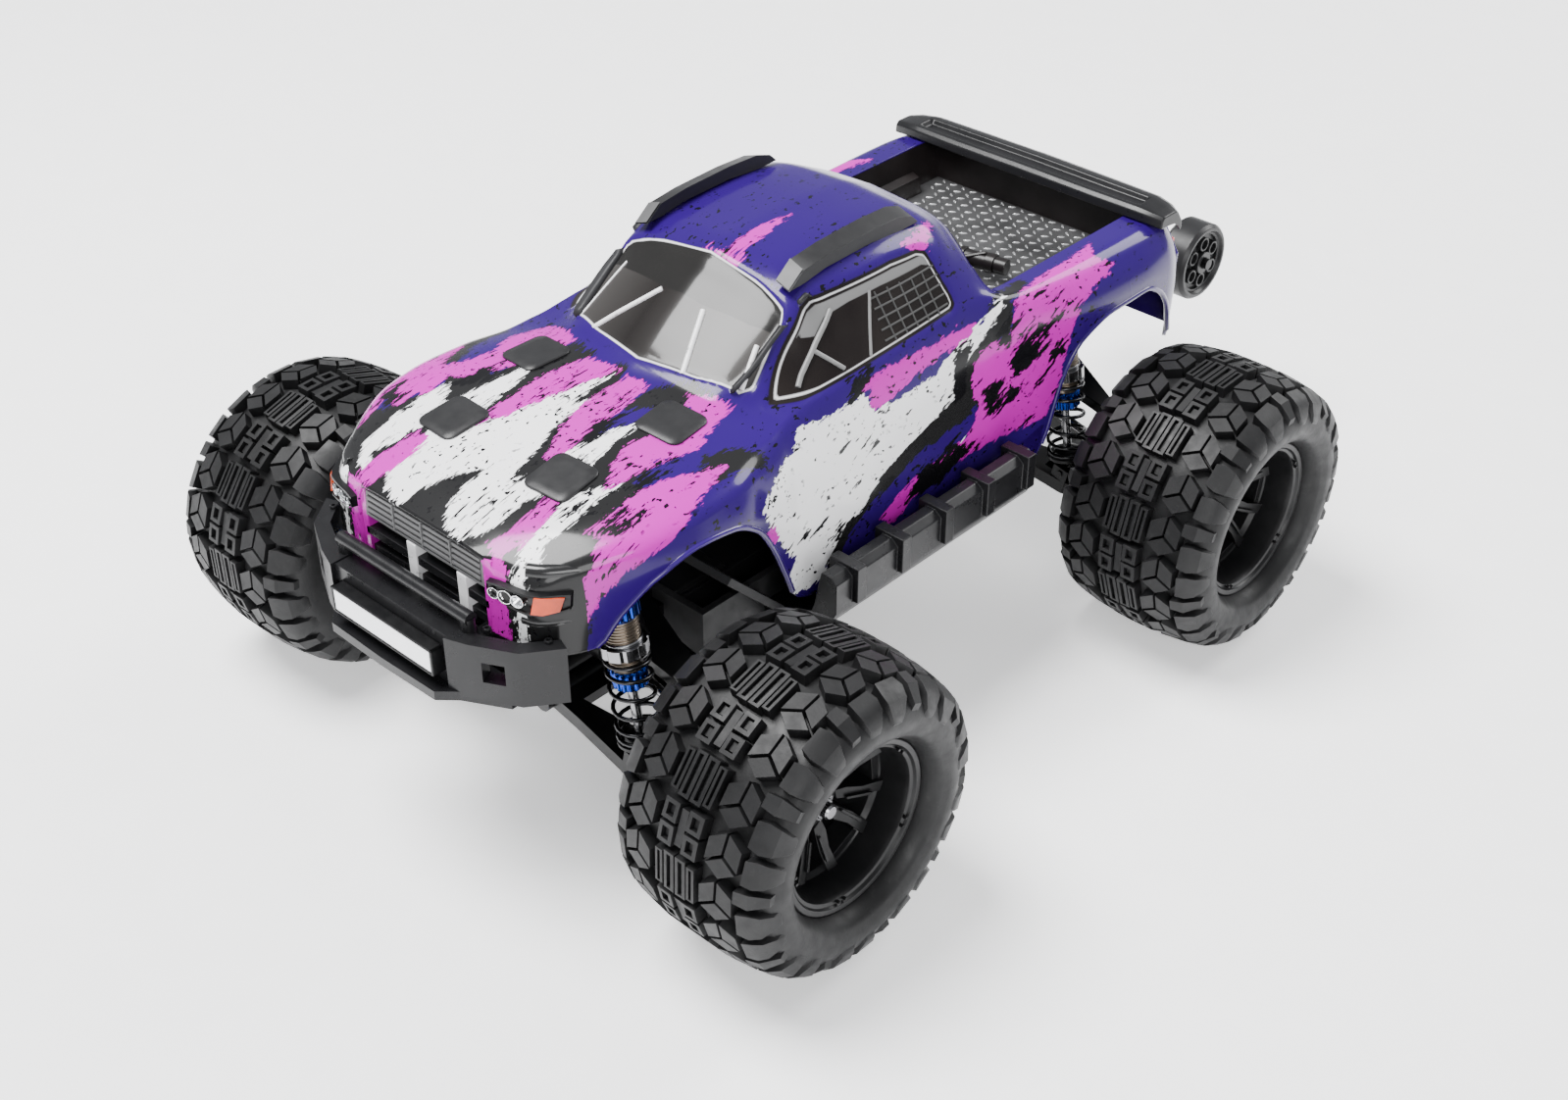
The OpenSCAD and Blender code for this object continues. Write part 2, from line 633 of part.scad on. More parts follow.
module tie_rod(side) {
    color([0.6, 0.6, 0.62]) scale([side, 1, 1]) translate([rack_end_x, rack_y, rack_z]) {
        run = steer_arm_x - rack_end_x;
        tilt = arm_tilt;
        difference() {
            union() {
                rod_y(3, -2.6, 2.6);
                rotate([0, tilt, 0]) rod_x(1.5, 2, run / cos(tilt) - 2);
            }
            rod_y(pin_r + fit, -4, 4);
        }
        rotate([0, tilt, 0]) translate([run / cos(tilt), 0, 0]) {
            rod_x(1.9, -8, -2.2);
            sphere(r = 3);
        }
    }
}

module tie_rod_l() {
    tie_rod(1);
}

module tie_rod_r() {
    tie_rod(-1);
}

// ---------- body shell ----------

// Half sections from the middle of the top round to the widest line of the side.
// Each row: y, then [x, z] of the middle, top edge, shoulder, waist and widest point.
SECTIONS = [
    [-138, [0, 110], [16, 110], [25, 109], [26, 106], [27, 99]],
    [-134, [0, 111.5], [17, 111.5], [30, 110], [38, 107], [41, 98]],
    [-126, [0, 114], [18, 114], [34, 112.5], [43, 109.5], [47.5, 99]],
    [-112, [0, 117], [20, 116.5], [38, 115], [49, 111.5], [55.5, 104]],
    [-98, [0, 119], [22, 118.5], [40, 117], [52, 113.5], [59.5, 107]],
    [-84, [0, 120.5], [24, 120], [41, 118], [53, 114.5], [60.5, 107]],
    [-68, [0, 121.5], [26, 121], [41, 118.5], [52.5, 115], [59.5, 104]],
    [-54, [0, 123], [28, 121.5], [41, 119], [50.5, 117], [57.5, 102]],
    [-46, [0, 130], [29, 126.5], [38, 121], [49, 118.5], [57, 100]],
    [-36, [0, 139], [30, 135.5], [35, 130], [48, 119.5], [56.5, 98]],
    [-26, [0, 146], [31, 142.5], [35, 137.5], [48, 120.5], [56.5, 98]],
    [-16, [0, 149], [31, 146.5], [36, 140], [48, 121], [56.5, 98]],
    [10, [0, 150], [31, 148], [37, 141], [48, 121], [56.5, 98]],
    [30, [0, 148.5], [30, 146.5], [36.5, 139], [48, 121], [56.5, 98]],
    [42, [0, 144], [28, 141.5], [35, 136], [48.5, 120.5], [57, 98]],
    [50, [0, 106], [38.5, 106], [42, 117.5], [51, 118.5], [57.5, 102]],
    [70, [0, 106], [39, 106], [42.5, 117.5], [52, 118], [58.5, 106]],
    [90, [0, 106], [39.5, 106], [43, 117.5], [53, 117.5], [60, 108]],
    [112, [0, 106], [39.5, 106], [43.5, 117.5], [53.5, 117], [60.5, 108]],
    [126, [0, 106], [39, 106], [43.5, 117.5], [53, 116.5], [60, 107]],
    [136, [0, 109], [38, 109], [42, 116.5], [50, 115], [57, 105]]];

// Lower edge of the side: y and height, with a notch over each wheel.
EDGE = [[-138, 86], [-122, 84], [-116, 94], [-106, 103], [-92, 107], [-80, 106], [-70, 100], [-62, 88],
        [-56, 74], [-50, 63], [-40, 60], [0, 58], [62, 57], [68, 66], [74, 88], [82, 96], [96, 100],
        [118, 100], [127, 92], [133, 78], [136, 72]];

// Value of a table of [y, value] rows at y, in straight stretches.
function lookup_at(y, rows, i = 0) =
    i >= len(rows) - 2 || y <= rows[i + 1][0]
        ? let (t = (y - rows[i][0]) / (rows[i + 1][0] - rows[i][0])) rows[i][1] * (1 - t) + rows[i + 1][1] * t
        : lookup_at(y, rows, i + 1);

function shell_half(y) =
    let (key = [for (k = [1:5]) lookup_at(y, [for (s = SECTIONS) [s[0], s[k]]])],
         low = lookup_at(y, EDGE),
         wide = key[4],
         drop = max(0.5, wide[1] - low),
         tuck = wide[0] - 0.05 * drop)
    concat([for (k = [0:3]) for (t = [0, 0.5]) key[k] * (1 - t) + key[k + 1] * t],
           [[wide[0], max(wide[1], low + 0.4)],
            [(wide[0] + tuck) / 2, (max(wide[1], low + 0.4) + low) / 2],
            [tuck, low]]);

shell_ys = [-138, -134, -126, -122, -119, -116, -111, -106, -98, -92, -86, -80, -75, -70, -66, -62, -59,
            -56, -53, -50, -46, -40, -36, -31, -26, -16, -3, 10, 20, 30, 36, 42, 46, 50, 56, 62, 65, 68,
            71, 74, 78, 82, 90, 96, 104, 112, 118, 122, 127, 130, 133, 136];

function shell_row(y) = let (h = shell_half(y), n = len(h))
    [for (i = [n - 1:-1:1]) [-h[i][0], y, h[i][1]], for (p = h) [p[0], y, p[1]]];

function unit(v) = v / norm(v);

module body_shell() {
    outer = [for (y = shell_ys) shell_row(y)];
    rows = len(outer);
    cols = len(outer[0]);
    inner = [for (i = [0:rows - 1]) [for (j = [0:cols - 1])
        let (du = outer[min(i + 1, rows - 1)][j] - outer[max(i - 1, 0)][j],
             dv = outer[i][min(j + 1, cols - 1)] - outer[i][max(j - 1, 0)],
             n = unit(cross(du, dv)))
        outer[i][j] + shell_t * n]];
    points = concat([for (r = outer) each r], [for (r = inner) each r]);
    off = rows * cols;
    faces = concat(
        [for (i = [0:rows - 2]) for (j = [0:cols - 2]) each
            let (a = i * cols + j, b = a + 1, d = a + cols, c = d + 1)
            [[a, c, b], [a, d, c], [off + a, off + b, off + c], [off + a, off + c, off + d]]],
        [for (i = [0:rows - 2]) each
            let (a = i * cols, d = a + cols, b = a + cols - 1, c = d + cols - 1)
            [[a, off + d, d], [a, off + a, off + d], [b, off + c, off + b], [b, c, off + c]]],
        [for (j = [0:cols - 2]) each
            let (a = j, d = (rows - 1) * cols + j)
            [[a, a + 1, off + a + 1], [a, off + a + 1, off + a],
             [d, off + d + 1, d + 1], [d, off + d, off + d + 1]]]);
    color([0.35, 0.25, 0.85]) {
        polyhedron(points, faces, convexity = 12);
        // nose with the grille, and the tail panel
        rotate([90, 0, 0]) translate([0, 0, 136]) linear_extrude(2)
            polygon([[-27, 87], [27, 87], [26, 106], [24.5, 109], [16, 110],
                     [-16, 110], [-24.5, 109], [-26, 106]]);
        rotate([90, 0, 0]) translate([0, 0, -136]) linear_extrude(2)
            polygon([[-54.5, 80], [54.5, 80], [56, 104], [49, 114], [42, 115.5], [37, 108], [-37, 108],
                     [-42, 115.5], [-49, 114], [-56, 104]]);
        for (i = [0:3]) translate([-22, -138.8, 101.5 + i * 2.2]) cube([44, 1.2, 1.1]);
    }
}

module roof_rails() {
    color([0.22, 0.22, 0.23]) for (side = [-1, 1]) scale([side, 1, 1]) translate([26, 0, 0])
        rotate([90, 0, 90]) linear_extrude(5)
            polygon([[-27, 146.5], [-20, 151], [24, 152], [29, 149.5],
                     [20, 148.5], [8, 149.2], [-12, 148.8], [-20, 147]]);
}

module spoiler() {
    color([0.1, 0.1, 0.11]) {
        rotate([90, 0, 90]) translate([0, 0, -44]) linear_extrude(88)
            polygon([[121, 118.8], [137, 117.9], [139.5, 115], [142, 117],
                     [139, 122], [126, 122.5], [121, 120.8]]);
        for (side = [-1, 1]) scale([side, 1, 1]) translate([0, 0, 118.8]) linear_extrude(2.6)
            polygon([[44, 118], [54, 121], [58, 126], [56, 134], [44, 139]]);
    }
}

module headlights() {
    color([0.85, 0.86, 0.88]) for (side = [-1, 1]) scale([side, 1, 1])
        translate([0, 0, 98]) linear_extrude(7)
            polygon([[27.9, -139.5], [41.6, -135.6], [46.5, -129.6],
                     [45.5, -129], [41.1, -134.5], [27.6, -138.4]]);
}

// ---------- drawing ----------

module corner_part(part, c) {
    if (part == "tyre") tyre(c);
    if (part == "rim") rim(c);
    if (part == "c_hub") c_hub(c);
    if (part == "knuckle") knuckle(c);
    if (part == "hub_carrier") hub_carrier(c);
    if (part == "lower_arm") lower_arm(c);
    if (part == "upper_arm") upper_arm(c);
    if (part == "shock_body") shock_body(c);
    if (part == "shock_rod") shock_rod(c);
    if (part == "spring") spring(c);
    if (part == "half_shaft") half_shaft(c);
}

for (c = CORNERS) for (part = c[2] < 0 ? FRONT_PARTS : REAR_PARTS)
    corner_part(part, c);
chassis_tub();
gearboxes();
front_shock_tower();
rear_shock_tower();
front_bumper();
light_bar();
wheelie_bar();
wheelie_wheels();
side_steps();
battery();
motor();
pinion();
centre_shaft();
steering_servo();
steering_rack();
tie_rod_l();
tie_rod_r();
control_box();
body_shell();
roof_rails();
spoiler();
headlights();
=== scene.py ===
"""Looks of the radio-controlled monster truck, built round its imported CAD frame.

Lengths are in millimetres until a mesh is made. +X is the truck's left, -Y its front and +Z is up.
"""

import math

import bmesh
import bpy
import numpy as np
from mathutils import Matrix, Vector

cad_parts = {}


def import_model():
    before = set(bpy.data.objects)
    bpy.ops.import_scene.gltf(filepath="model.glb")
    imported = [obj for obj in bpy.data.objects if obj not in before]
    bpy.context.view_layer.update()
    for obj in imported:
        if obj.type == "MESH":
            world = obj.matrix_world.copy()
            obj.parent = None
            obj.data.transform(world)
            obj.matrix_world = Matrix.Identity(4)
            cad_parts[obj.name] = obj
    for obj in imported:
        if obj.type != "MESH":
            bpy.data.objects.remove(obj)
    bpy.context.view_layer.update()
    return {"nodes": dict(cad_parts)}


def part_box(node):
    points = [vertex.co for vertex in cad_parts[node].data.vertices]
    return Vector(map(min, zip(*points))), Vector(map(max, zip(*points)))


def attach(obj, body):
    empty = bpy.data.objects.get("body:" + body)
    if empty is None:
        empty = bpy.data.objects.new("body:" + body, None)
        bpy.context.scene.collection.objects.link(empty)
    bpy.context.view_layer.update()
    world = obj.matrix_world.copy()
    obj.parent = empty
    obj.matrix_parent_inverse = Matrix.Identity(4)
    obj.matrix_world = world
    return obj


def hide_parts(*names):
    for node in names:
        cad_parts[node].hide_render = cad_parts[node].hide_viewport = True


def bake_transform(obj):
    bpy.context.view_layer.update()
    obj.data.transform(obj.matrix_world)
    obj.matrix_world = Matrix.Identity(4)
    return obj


MM = 0.001

# The corners: name, side (+1 is the left) and end (-1 is the front).
CORNERS = (("fl", 1, -1), ("fr", -1, -1), ("rl", 1, 1), ("rr", -1, 1))
AXLE_Y = 97.0
AXLE_Z = 46.5
TRACK = 98.5
TYRE_R = 46.5
SHOCK_TOP = (44.0, 97.0)
SHOCK_LOW = (53.0, 41.0)
SHOCK_DY = {-1: -13.0, 1: -9.0}


# ---------- camera, light and floor ----------

CAMERA_TARGET = Vector((12.86, -9.41, 38.4)) * MM
CAMERA_AWAY = 653.3 * MM
CAMERA_AZIMUTH = math.radians(42.83)
CAMERA_ELEVATION = math.radians(35.6)
LENS = 46.94
SENSOR = 36
FLOOR_HALF = 4000
LIGHT_SIZE = 0.9


def make_camera():
    data = bpy.data.cameras.new("camera")
    data.lens = LENS
    data.sensor_width = SENSOR
    camera = bpy.data.objects.new("camera", data)
    bpy.context.scene.collection.objects.link(camera)
    level = math.cos(CAMERA_ELEVATION)
    away = Vector((level * math.sin(CAMERA_AZIMUTH), -level * math.cos(CAMERA_AZIMUTH),
                   math.sin(CAMERA_ELEVATION)))
    camera.location = CAMERA_TARGET + away * CAMERA_AWAY
    camera.rotation_euler = (-away).to_track_quat("-Z", "Y").to_euler()
    bpy.context.scene.camera = camera


def area_light(name, place, power, aim=(0, 0, 0.05)):
    data = bpy.data.lights.new(name, "AREA")
    data.shape = "DISK"
    data.size = LIGHT_SIZE
    data.energy = power
    light = bpy.data.objects.new(name, data)
    light.location = place
    light.rotation_euler = (Vector(aim) - Vector(place)).to_track_quat("-Z", "Y").to_euler()
    bpy.context.scene.collection.objects.link(light)


def make_studio():
    world = bpy.data.worlds.new("studio")
    world.use_nodes = True
    world.node_tree.nodes["Background"].inputs["Color"].default_value = (0.95, 0.97, 1, 1)
    world.node_tree.nodes["Background"].inputs["Strength"].default_value = 0.5
    bpy.context.scene.world = world
    area_light("key", (-0.45, -0.4, 1.5), 62)
    area_light("fill", (1.3, -0.9, 0.8), 16)
    area_light("back", (0.3, 1.4, 1), 22)
    floor = Shape()
    corners = [(u * FLOOR_HALF, v * FLOOR_HALF, 0) for u, v in ((-1, -1), (1, -1), (1, 1), (-1, 1))]
    floor.add(corners, [(0, 1, 2, 3)])
    finish = plastic("floor", (0.95, 0.95, 0.955), 0.7, mottle=0.01, glow=0.6)
    make_object("floor", floor, [finish])


# ---------- shapes ----------


def placed_outline(outline, height, axis):
    """Points of a flat outline at a height along an axis; the outline's own two axes are the other two."""
    if axis == "z":
        return [(u, v, height) for u, v in outline]
    if axis == "y":
        return [(u, height, v) for u, v in outline]
    return [(height, u, v) for u, v in outline]


class Shape:
    """Points and faces of one piece in millimetres, with a material number for each face."""

    def __init__(self):
        self.points = []
        self.faces = []
        self.mats = []

    def add(self, points, faces, mat=0, place=None):
        base = len(self.points)
        points = [Vector(p) for p in points]
        if place is not None:
            points = [place @ p for p in points]
        self.points += points
        self.faces += [[base + i for i in face] for face in faces]
        self.mats += [mat] * len(faces)
        return self

    def rings(self, rings, mat=0, place=None, caps=True, loop=False):
        """A skin over rings of equally many points."""
        n = len(rings[0])
        faces = []
        for k in range(len(rings) if loop else len(rings) - 1):
            low, high = k * n, (k + 1) % len(rings) * n
            faces += [(low + i, low + (i + 1) % n, high + (i + 1) % n, high + i) for i in range(n)]
        if caps and not loop:
            faces += [tuple(range(n - 1, -1, -1)), tuple(range((len(rings) - 1) * n, len(rings) * n))]
        return self.add([p for ring in rings for p in ring], faces, mat, place)

    def prism(self, outline, low, high, axis="z", mat=0, place=None):
        return self.rings([placed_outline(outline, h, axis) for h in (low, high)], mat, place)

    def box(self, low, high, mat=0, place=None):
        outline = [(low[0], low[1]), (high[0], low[1]), (high[0], high[1]), (low[0], high[1])]
        return self.prism(outline, low[2], high[2], "z", mat, place)

    def turn(self, profile, steps=32, mat=0, place=None, loop=False):
        """A profile of (place along Z, radius) points turned about Z."""
        turned = [[(r * math.cos(a), r * math.sin(a), h)
                   for a in (2 * math.pi * i / steps for i in range(steps))] for h, r in profile]
        return self.rings(turned, mat, place, caps=not loop, loop=loop)

    def rod(self, a, b, radius, steps=16, mat=0, place=None):
        return self.tube([a, b], radius, steps, mat, place)

    def tube(self, path, radius, steps=10, mat=0, place=None):
        """A round bar along a path."""
        path = [Vector(p) for p in path]
        rings = []
        side = None
        for i, p in enumerate(path):
            along = (path[min(i + 1, len(path) - 1)] - path[max(i - 1, 0)]).normalized()
            if side is None:
                side = along.orthogonal().normalized()
            side = (side - along * side.dot(along)).normalized()
            up = along.cross(side)
            rings.append([p + radius * (side * math.cos(a) + up * math.sin(a))
                          for a in (2 * math.pi * k / steps for k in range(steps))])
        return self.rings(rings, mat, place)

    def join(self, other, place=None):
        base = len(self.points)
        self.points += [place @ p if place is not None else p.copy() for p in other.points]
        self.faces += [[base + i for i in face] for face in other.faces]
        self.mats += other.mats
        return self


def disc(radius, steps, start=0.0):
    return [(radius * math.cos(start + 2 * math.pi * i / steps),
             radius * math.sin(start + 2 * math.pi * i / steps))
            for i in range(steps)]


def rounded_box_outline(low, high, radius, steps=4):
    """A rectangle with round corners, as (u, v) points."""
    corners = ((high[0] - radius, high[1] - radius, 0), (low[0] + radius, high[1] - radius, 90),
               (low[0] + radius, low[1] + radius, 180), (high[0] - radius, low[1] + radius, 270))
    return [(u + radius * math.cos(math.radians(start + 90 * i / steps)),
             v + radius * math.sin(math.radians(start + 90 * i / steps)))
            for u, v, start in corners for i in range(steps + 1)]


def make_object(name, shape, materials, bevel=0.0, crease=40):
    mesh = bpy.data.meshes.new(name)
    mesh.from_pydata([p * MM for p in shape.points], [], shape.faces)
    for material in materials:
        mesh.materials.append(material)
    mesh.polygons.foreach_set("material_index", shape.mats)
    cleaned = bmesh.new()
    cleaned.from_mesh(mesh)
    bmesh.ops.recalc_face_normals(cleaned, faces=cleaned.faces)
    cleaned.to_mesh(mesh)
    cleaned.free()
    mesh.shade_smooth()
    mesh.set_sharp_from_angle(angle=math.radians(crease))
    made = bpy.data.objects.new(name, mesh)
    bpy.context.scene.collection.objects.link(made)
    if bevel:
        add_bevel(made, bevel)
    return made


def add_bevel(made, width):
    bevel = made.modifiers.new("bevel", "BEVEL")
    bevel.width = width * MM
    bevel.segments = 2
    bevel.limit_method = "ANGLE"
    bevel.angle_limit = math.radians(32)
    bevel.harden_normals = True


def piece(name, shape, materials, body, replaces=(), bevel=0.0, crease=40):
    """A finished piece: its object, the body it rides on and the CAD nodes it stands for."""
    made = make_object(name, shape, materials, bevel, crease)
    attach(made, body)
    if replaces:
        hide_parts(*replaces)
    return made


def rounded_copy(frame, node, materials, body, width, extra=None):
    """A CAD node with its edges rounded, and more detail joined to it."""
    source = bmesh.new()
    source.from_mesh(frame["nodes"][node].data)
    bmesh.ops.remove_doubles(source, verts=source.verts, dist=1e-6)
    bmesh.ops.dissolve_limit(source, angle_limit=math.radians(1), verts=source.verts, edges=source.edges)
    shape = Shape()
    source.verts.ensure_lookup_table()
    shape.add([v.co / MM for v in source.verts], [[v.index for v in f.verts] for f in source.faces])
    source.free()
    if extra is not None:
        shape.join(extra)
    return piece(node + "_look", shape, materials, body, [node], width)


# ---------- materials ----------


def node(tree, kind, inputs=(), **settings):
    made = tree.nodes.new("ShaderNode" + kind)
    for key, value in settings.items():
        setattr(made, key, value)
    for key, value in dict(inputs).items():
        if isinstance(value, bpy.types.NodeSocket):
            tree.links.new(value, made.inputs[key])
        else:
            made.inputs[key].default_value = value
    return made


def new_material(name):
    material = bpy.data.materials.new(name)
    material.use_nodes = True
    tree = material.node_tree
    return material, tree, tree.nodes["Principled BSDF"], node(tree, "TexCoord").outputs["Object"]


def noise(tree, place, scale, detail=3, roughness=0.55, squash=None, turn=(0, 0, 0)):
    """Noise whose grain is about 1000 / scale millimetres, drawn out by the squash factors."""
    if squash:
        place = node(tree, "Mapping", {"Vector": place, "Scale": squash, "Rotation": turn}).outputs[0]
    made = node(tree, "TexNoise", {"Vector": place, "Scale": scale, "Detail": detail,
                                   "Roughness": roughness})
    return made.outputs["Fac"]


def ranged(tree, value, low, high, to_low, to_high):
    return node(tree, "MapRange", {0: value, 1: low, 2: high, 3: to_low, 4: to_high}).outputs[0]


def maths(tree, operation, a, b=0.0):
    return node(tree, "Math", {0: a, 1: b}, operation=operation).outputs[0]


def mix_colour(tree, share, a, b):
    made = node(tree, "Mix", {0: share}, data_type="RGBA")
    for socket, value in zip((made.inputs[6], made.inputs[7]), (a, b)):
        if isinstance(value, bpy.types.NodeSocket):
            tree.links.new(value, socket)
        else:
            socket.default_value = (*value, 1)
    return made.outputs[2]


def plastic(name, colour, rough, metal=0.0, mottle=0.12, grain=900, depth=0.02, coat=0.0, worn=None,
            glow=0.0, gloss=0.3):
    """A finish with uneven colour and gloss, a fine grain and, where worn is given, rubbed patches."""
    material, tree, shader, place = new_material(name)
    broad = noise(tree, place, 70, 4)
    low = tuple(c * (1 - mottle) for c in colour)
    high = tuple(min(1, c * (1 + mottle)) for c in colour)
    tint = mix_colour(tree, ranged(tree, broad, 0.35, 0.65, 0, 1), low, high)
    if worn:
        rubbed = ranged(tree, noise(tree, place, 260, 6, 0.7), 0.58, 0.66, 0, 1)
        tint = mix_colour(tree, maths(tree, "MULTIPLY", rubbed, 0.5), tint, worn)
    tree.links.new(tint, shader.inputs["Base Color"])
    tree.links.new(ranged(tree, noise(tree, place, 240, 3), 0.3, 0.7, rough * 0.85, min(1, rough * 1.15)),
                   shader.inputs["Roughness"])
    bump = node(tree, "Bump", {"Height": noise(tree, place, grain, 2), "Distance": depth * MM,
                               "Strength": 0.6})
    tree.links.new(bump.outputs[0], shader.inputs["Normal"])
    shader.inputs["Metallic"].default_value = metal
    shader.inputs["Specular IOR Level"].default_value = gloss
    if coat:
        shader.inputs["Coat Weight"].default_value = coat
        shader.inputs["Coat Roughness"].default_value = 0.08
    if glow:
        tree.links.new(tint, shader.inputs["Emission Color"])
        shader.inputs["Emission Strength"].default_value = glow
    return material


def make_finishes():
    return {
        "tyre": plastic("tyre rubber", (0.007, 0.007, 0.0075), 0.5, mottle=0.25, grain=1400, depth=0.05,
                        worn=(0.016, 0.016, 0.016)),
        "rim": plastic("rim plastic", (0.006, 0.006, 0.0065), 0.36, grain=1600, depth=0.02),
        "black": plastic("black nylon", (0.0035, 0.0035, 0.004), 0.34, grain=1500, depth=0.03),
        "satin": plastic("satin black", (0.009, 0.009, 0.01), 0.3, grain=1700, depth=0.02),
        "tub": plastic("grey nylon", (0.035, 0.035, 0.037), 0.5, grain=1500, depth=0.03),
        "trim": plastic("dark grey trim", (0.016, 0.016, 0.017), 0.38, grain=1500, depth=0.02),
        # Light grey: the grille's own colour, and the painted highlight on the roof rails' sloping front
        # ends.
        "pale trim and painted highlight": plastic("light grey trim and painted highlight", (0.1, 0.1, 0.102), 0.38, grain=1500, depth=0.02),
        "steel": plastic("bright steel", (0.28, 0.28, 0.29), 0.24, 1, 0.05, 2200, 0.01),
        "spring": plastic("dark spring steel", (0.05, 0.05, 0.052), 0.25, 1, 0.1, 2200, 0.01),
        "blue": plastic("blue anodised aluminium", (0.004, 0.05, 0.42), 0.26, 1, 0.1, 2200, 0.01, coat=0.3),
        "gold": plastic("champagne aluminium", (0.3, 0.25, 0.2), 0.3, 1, 0.06, 2200, 0.01),
        "brass": plastic("gear brass", (0.6, 0.42, 0.16), 0.3, 1, 0.1, 1500, 0.02),
        "can": plastic("motor can", (0.42, 0.42, 0.44), 0.32, 1, 0.08, 1500, 0.02),
        "wrap": plastic("battery wrap", (0.02, 0.09, 0.3), 0.35, 0, 0.1, 900, 0.04, coat=0.4),
        "case": plastic("electronics case", (0.014, 0.014, 0.015), 0.4, grain=1500, depth=0.03),
        "chrome": plastic("lamp chrome", (0.85, 0.86, 0.88), 0.1, 1, 0.04, 500, 0.01),
        "led": plastic("white light bar", (0.93, 0.94, 0.97), 0.3, 0, 0.02, 900, 0.01, glow=0.6),
        "amber": plastic("amber lens", (0.6, 0.05, 0.001), 0.12, 0, 0.45, 400, 0.02, coat=0.5),
        "red": plastic("red lens", (0.75, 0.03, 0.02), 0.12, 0, 0.15, 400, 0.02, coat=0.5),
    }


# ---------- wheels ----------

ONTO_X = Matrix.Rotation(math.pi / 2, 4, "Y")
ONTO_Y = Matrix.Rotation(-math.pi / 2, 4, "X")
TREAD_TOP = ((0, 46.5), (8, 46.3), (15, 45.5), (22, 44.3), (25.4, 42.4), (27, 39.2), (27.6, 35.6))
TREAD_BASE = ((0, 43), (8, 42.8), (15, 42), (21, 40.8), (24.2, 38.9), (26, 36.4), (26.8, 34))
TREAD_REPEATS = 10
SPOKES = 5


def along_profile(profile, girth):
    """The point (across, radius) at a distance from the middle of a tread profile."""
    side = -1 if girth < 0 else 1
    left = abs(girth)
    for a, b in zip(profile, profile[1:]):
        step = math.dist(a, b)
        if left <= step or b == profile[-1]:
            t = min(left / step, 1)
            return side * (a[0] + (b[0] - a[0]) * t), a[1] + (b[1] - a[1]) * t
        left -= step


def tread_point(profile, around, girth):
    across, radius = along_profile(profile, girth)
    angle = around / TYRE_R
    return across, radius * math.sin(angle), radius * math.cos(angle)


def shrunk(outline, by):
    """An outline pulled towards its middle."""
    cu = sum(u for u, v in outline) / len(outline)
    cv = sum(v for u, v in outline) / len(outline)
    reach = max(math.dist(p, (cu, cv)) for p in outline)
    return [(cu + (u - cu) * (1 - by / reach), cv + (v - cv) * (1 - by / reach)) for u, v in outline]


def tread_block(shape, outline, lower=0.0):
    """A block with sloping sides; its outline is in (around, girth), and lower takes its top down."""
    top = [tread_point(TREAD_TOP, u, v) for u, v in shrunk(outline, 0.45)]
    if lower:
        top = [Vector(p) - Vector((0, p[1], p[2])).normalized() * lower for p in top]
    base = [tread_point(TREAD_BASE, u, v) for u, v in outline]
    shape.rings([base, top])


def shoulder_lug(shape, stations):
    """A lug that wraps over the shoulder: rows of (girth, first and last place around)."""
    rings = []
    for girth, first, last in stations:
        rings.append([tread_point(TREAD_BASE, first, girth * 0.985),
                      tread_point(TREAD_TOP, first + 0.5, girth),
                      tread_point(TREAD_TOP, last - 0.5, girth),
                      tread_point(TREAD_BASE, last, girth * 0.985)])
    shape.rings(rings)


def y_groove_lug(shape, around, girth, size, side):
    """A six-sided lug cut by a Y-shaped groove into three lozenges."""
    middle = (around, side * girth)
    corner = [(around + size * math.cos(math.radians(a)),
               side * (girth + 0.86 * size * math.sin(math.radians(a))))
              for a in range(0, 360, 60)]
    for k in (0, 2, 4):
        tread_block(shape, shrunk([middle, corner[k], corner[(k + 1) % 6], corner[(k + 2) % 6]], 0.45))


def hollow_block(shape, start, box, wall, side):
    """A four-sided block with a sunk middle; its box is (first, low girth, last, high girth)."""
    u0, v0, u1, v1 = box
    outline = [(start + u, side * v) for u, v in ((u0, v0), (u1, v0), (u1, v1), (u0, v1))]
    hole = [(start + u, side * v) for u, v in ((u0 + wall, v0 + wall), (u1 - wall, v0 + wall),
                                               (u1 - wall, v1 - wall), (u0 + wall, v1 - wall))]
    foot = [tread_point(TREAD_BASE, u, v) for u, v in outline]
    shape.rings([foot, [tread_point(TREAD_TOP, u, v) for u, v in shrunk(outline, 0.4)],
                 [tread_point(TREAD_TOP, u, v) for u, v in hole],
                 [tread_point(TREAD_BASE, u, v) for u, v in hole]], loop=True)
    tread_block(shape, hole, 1.3)


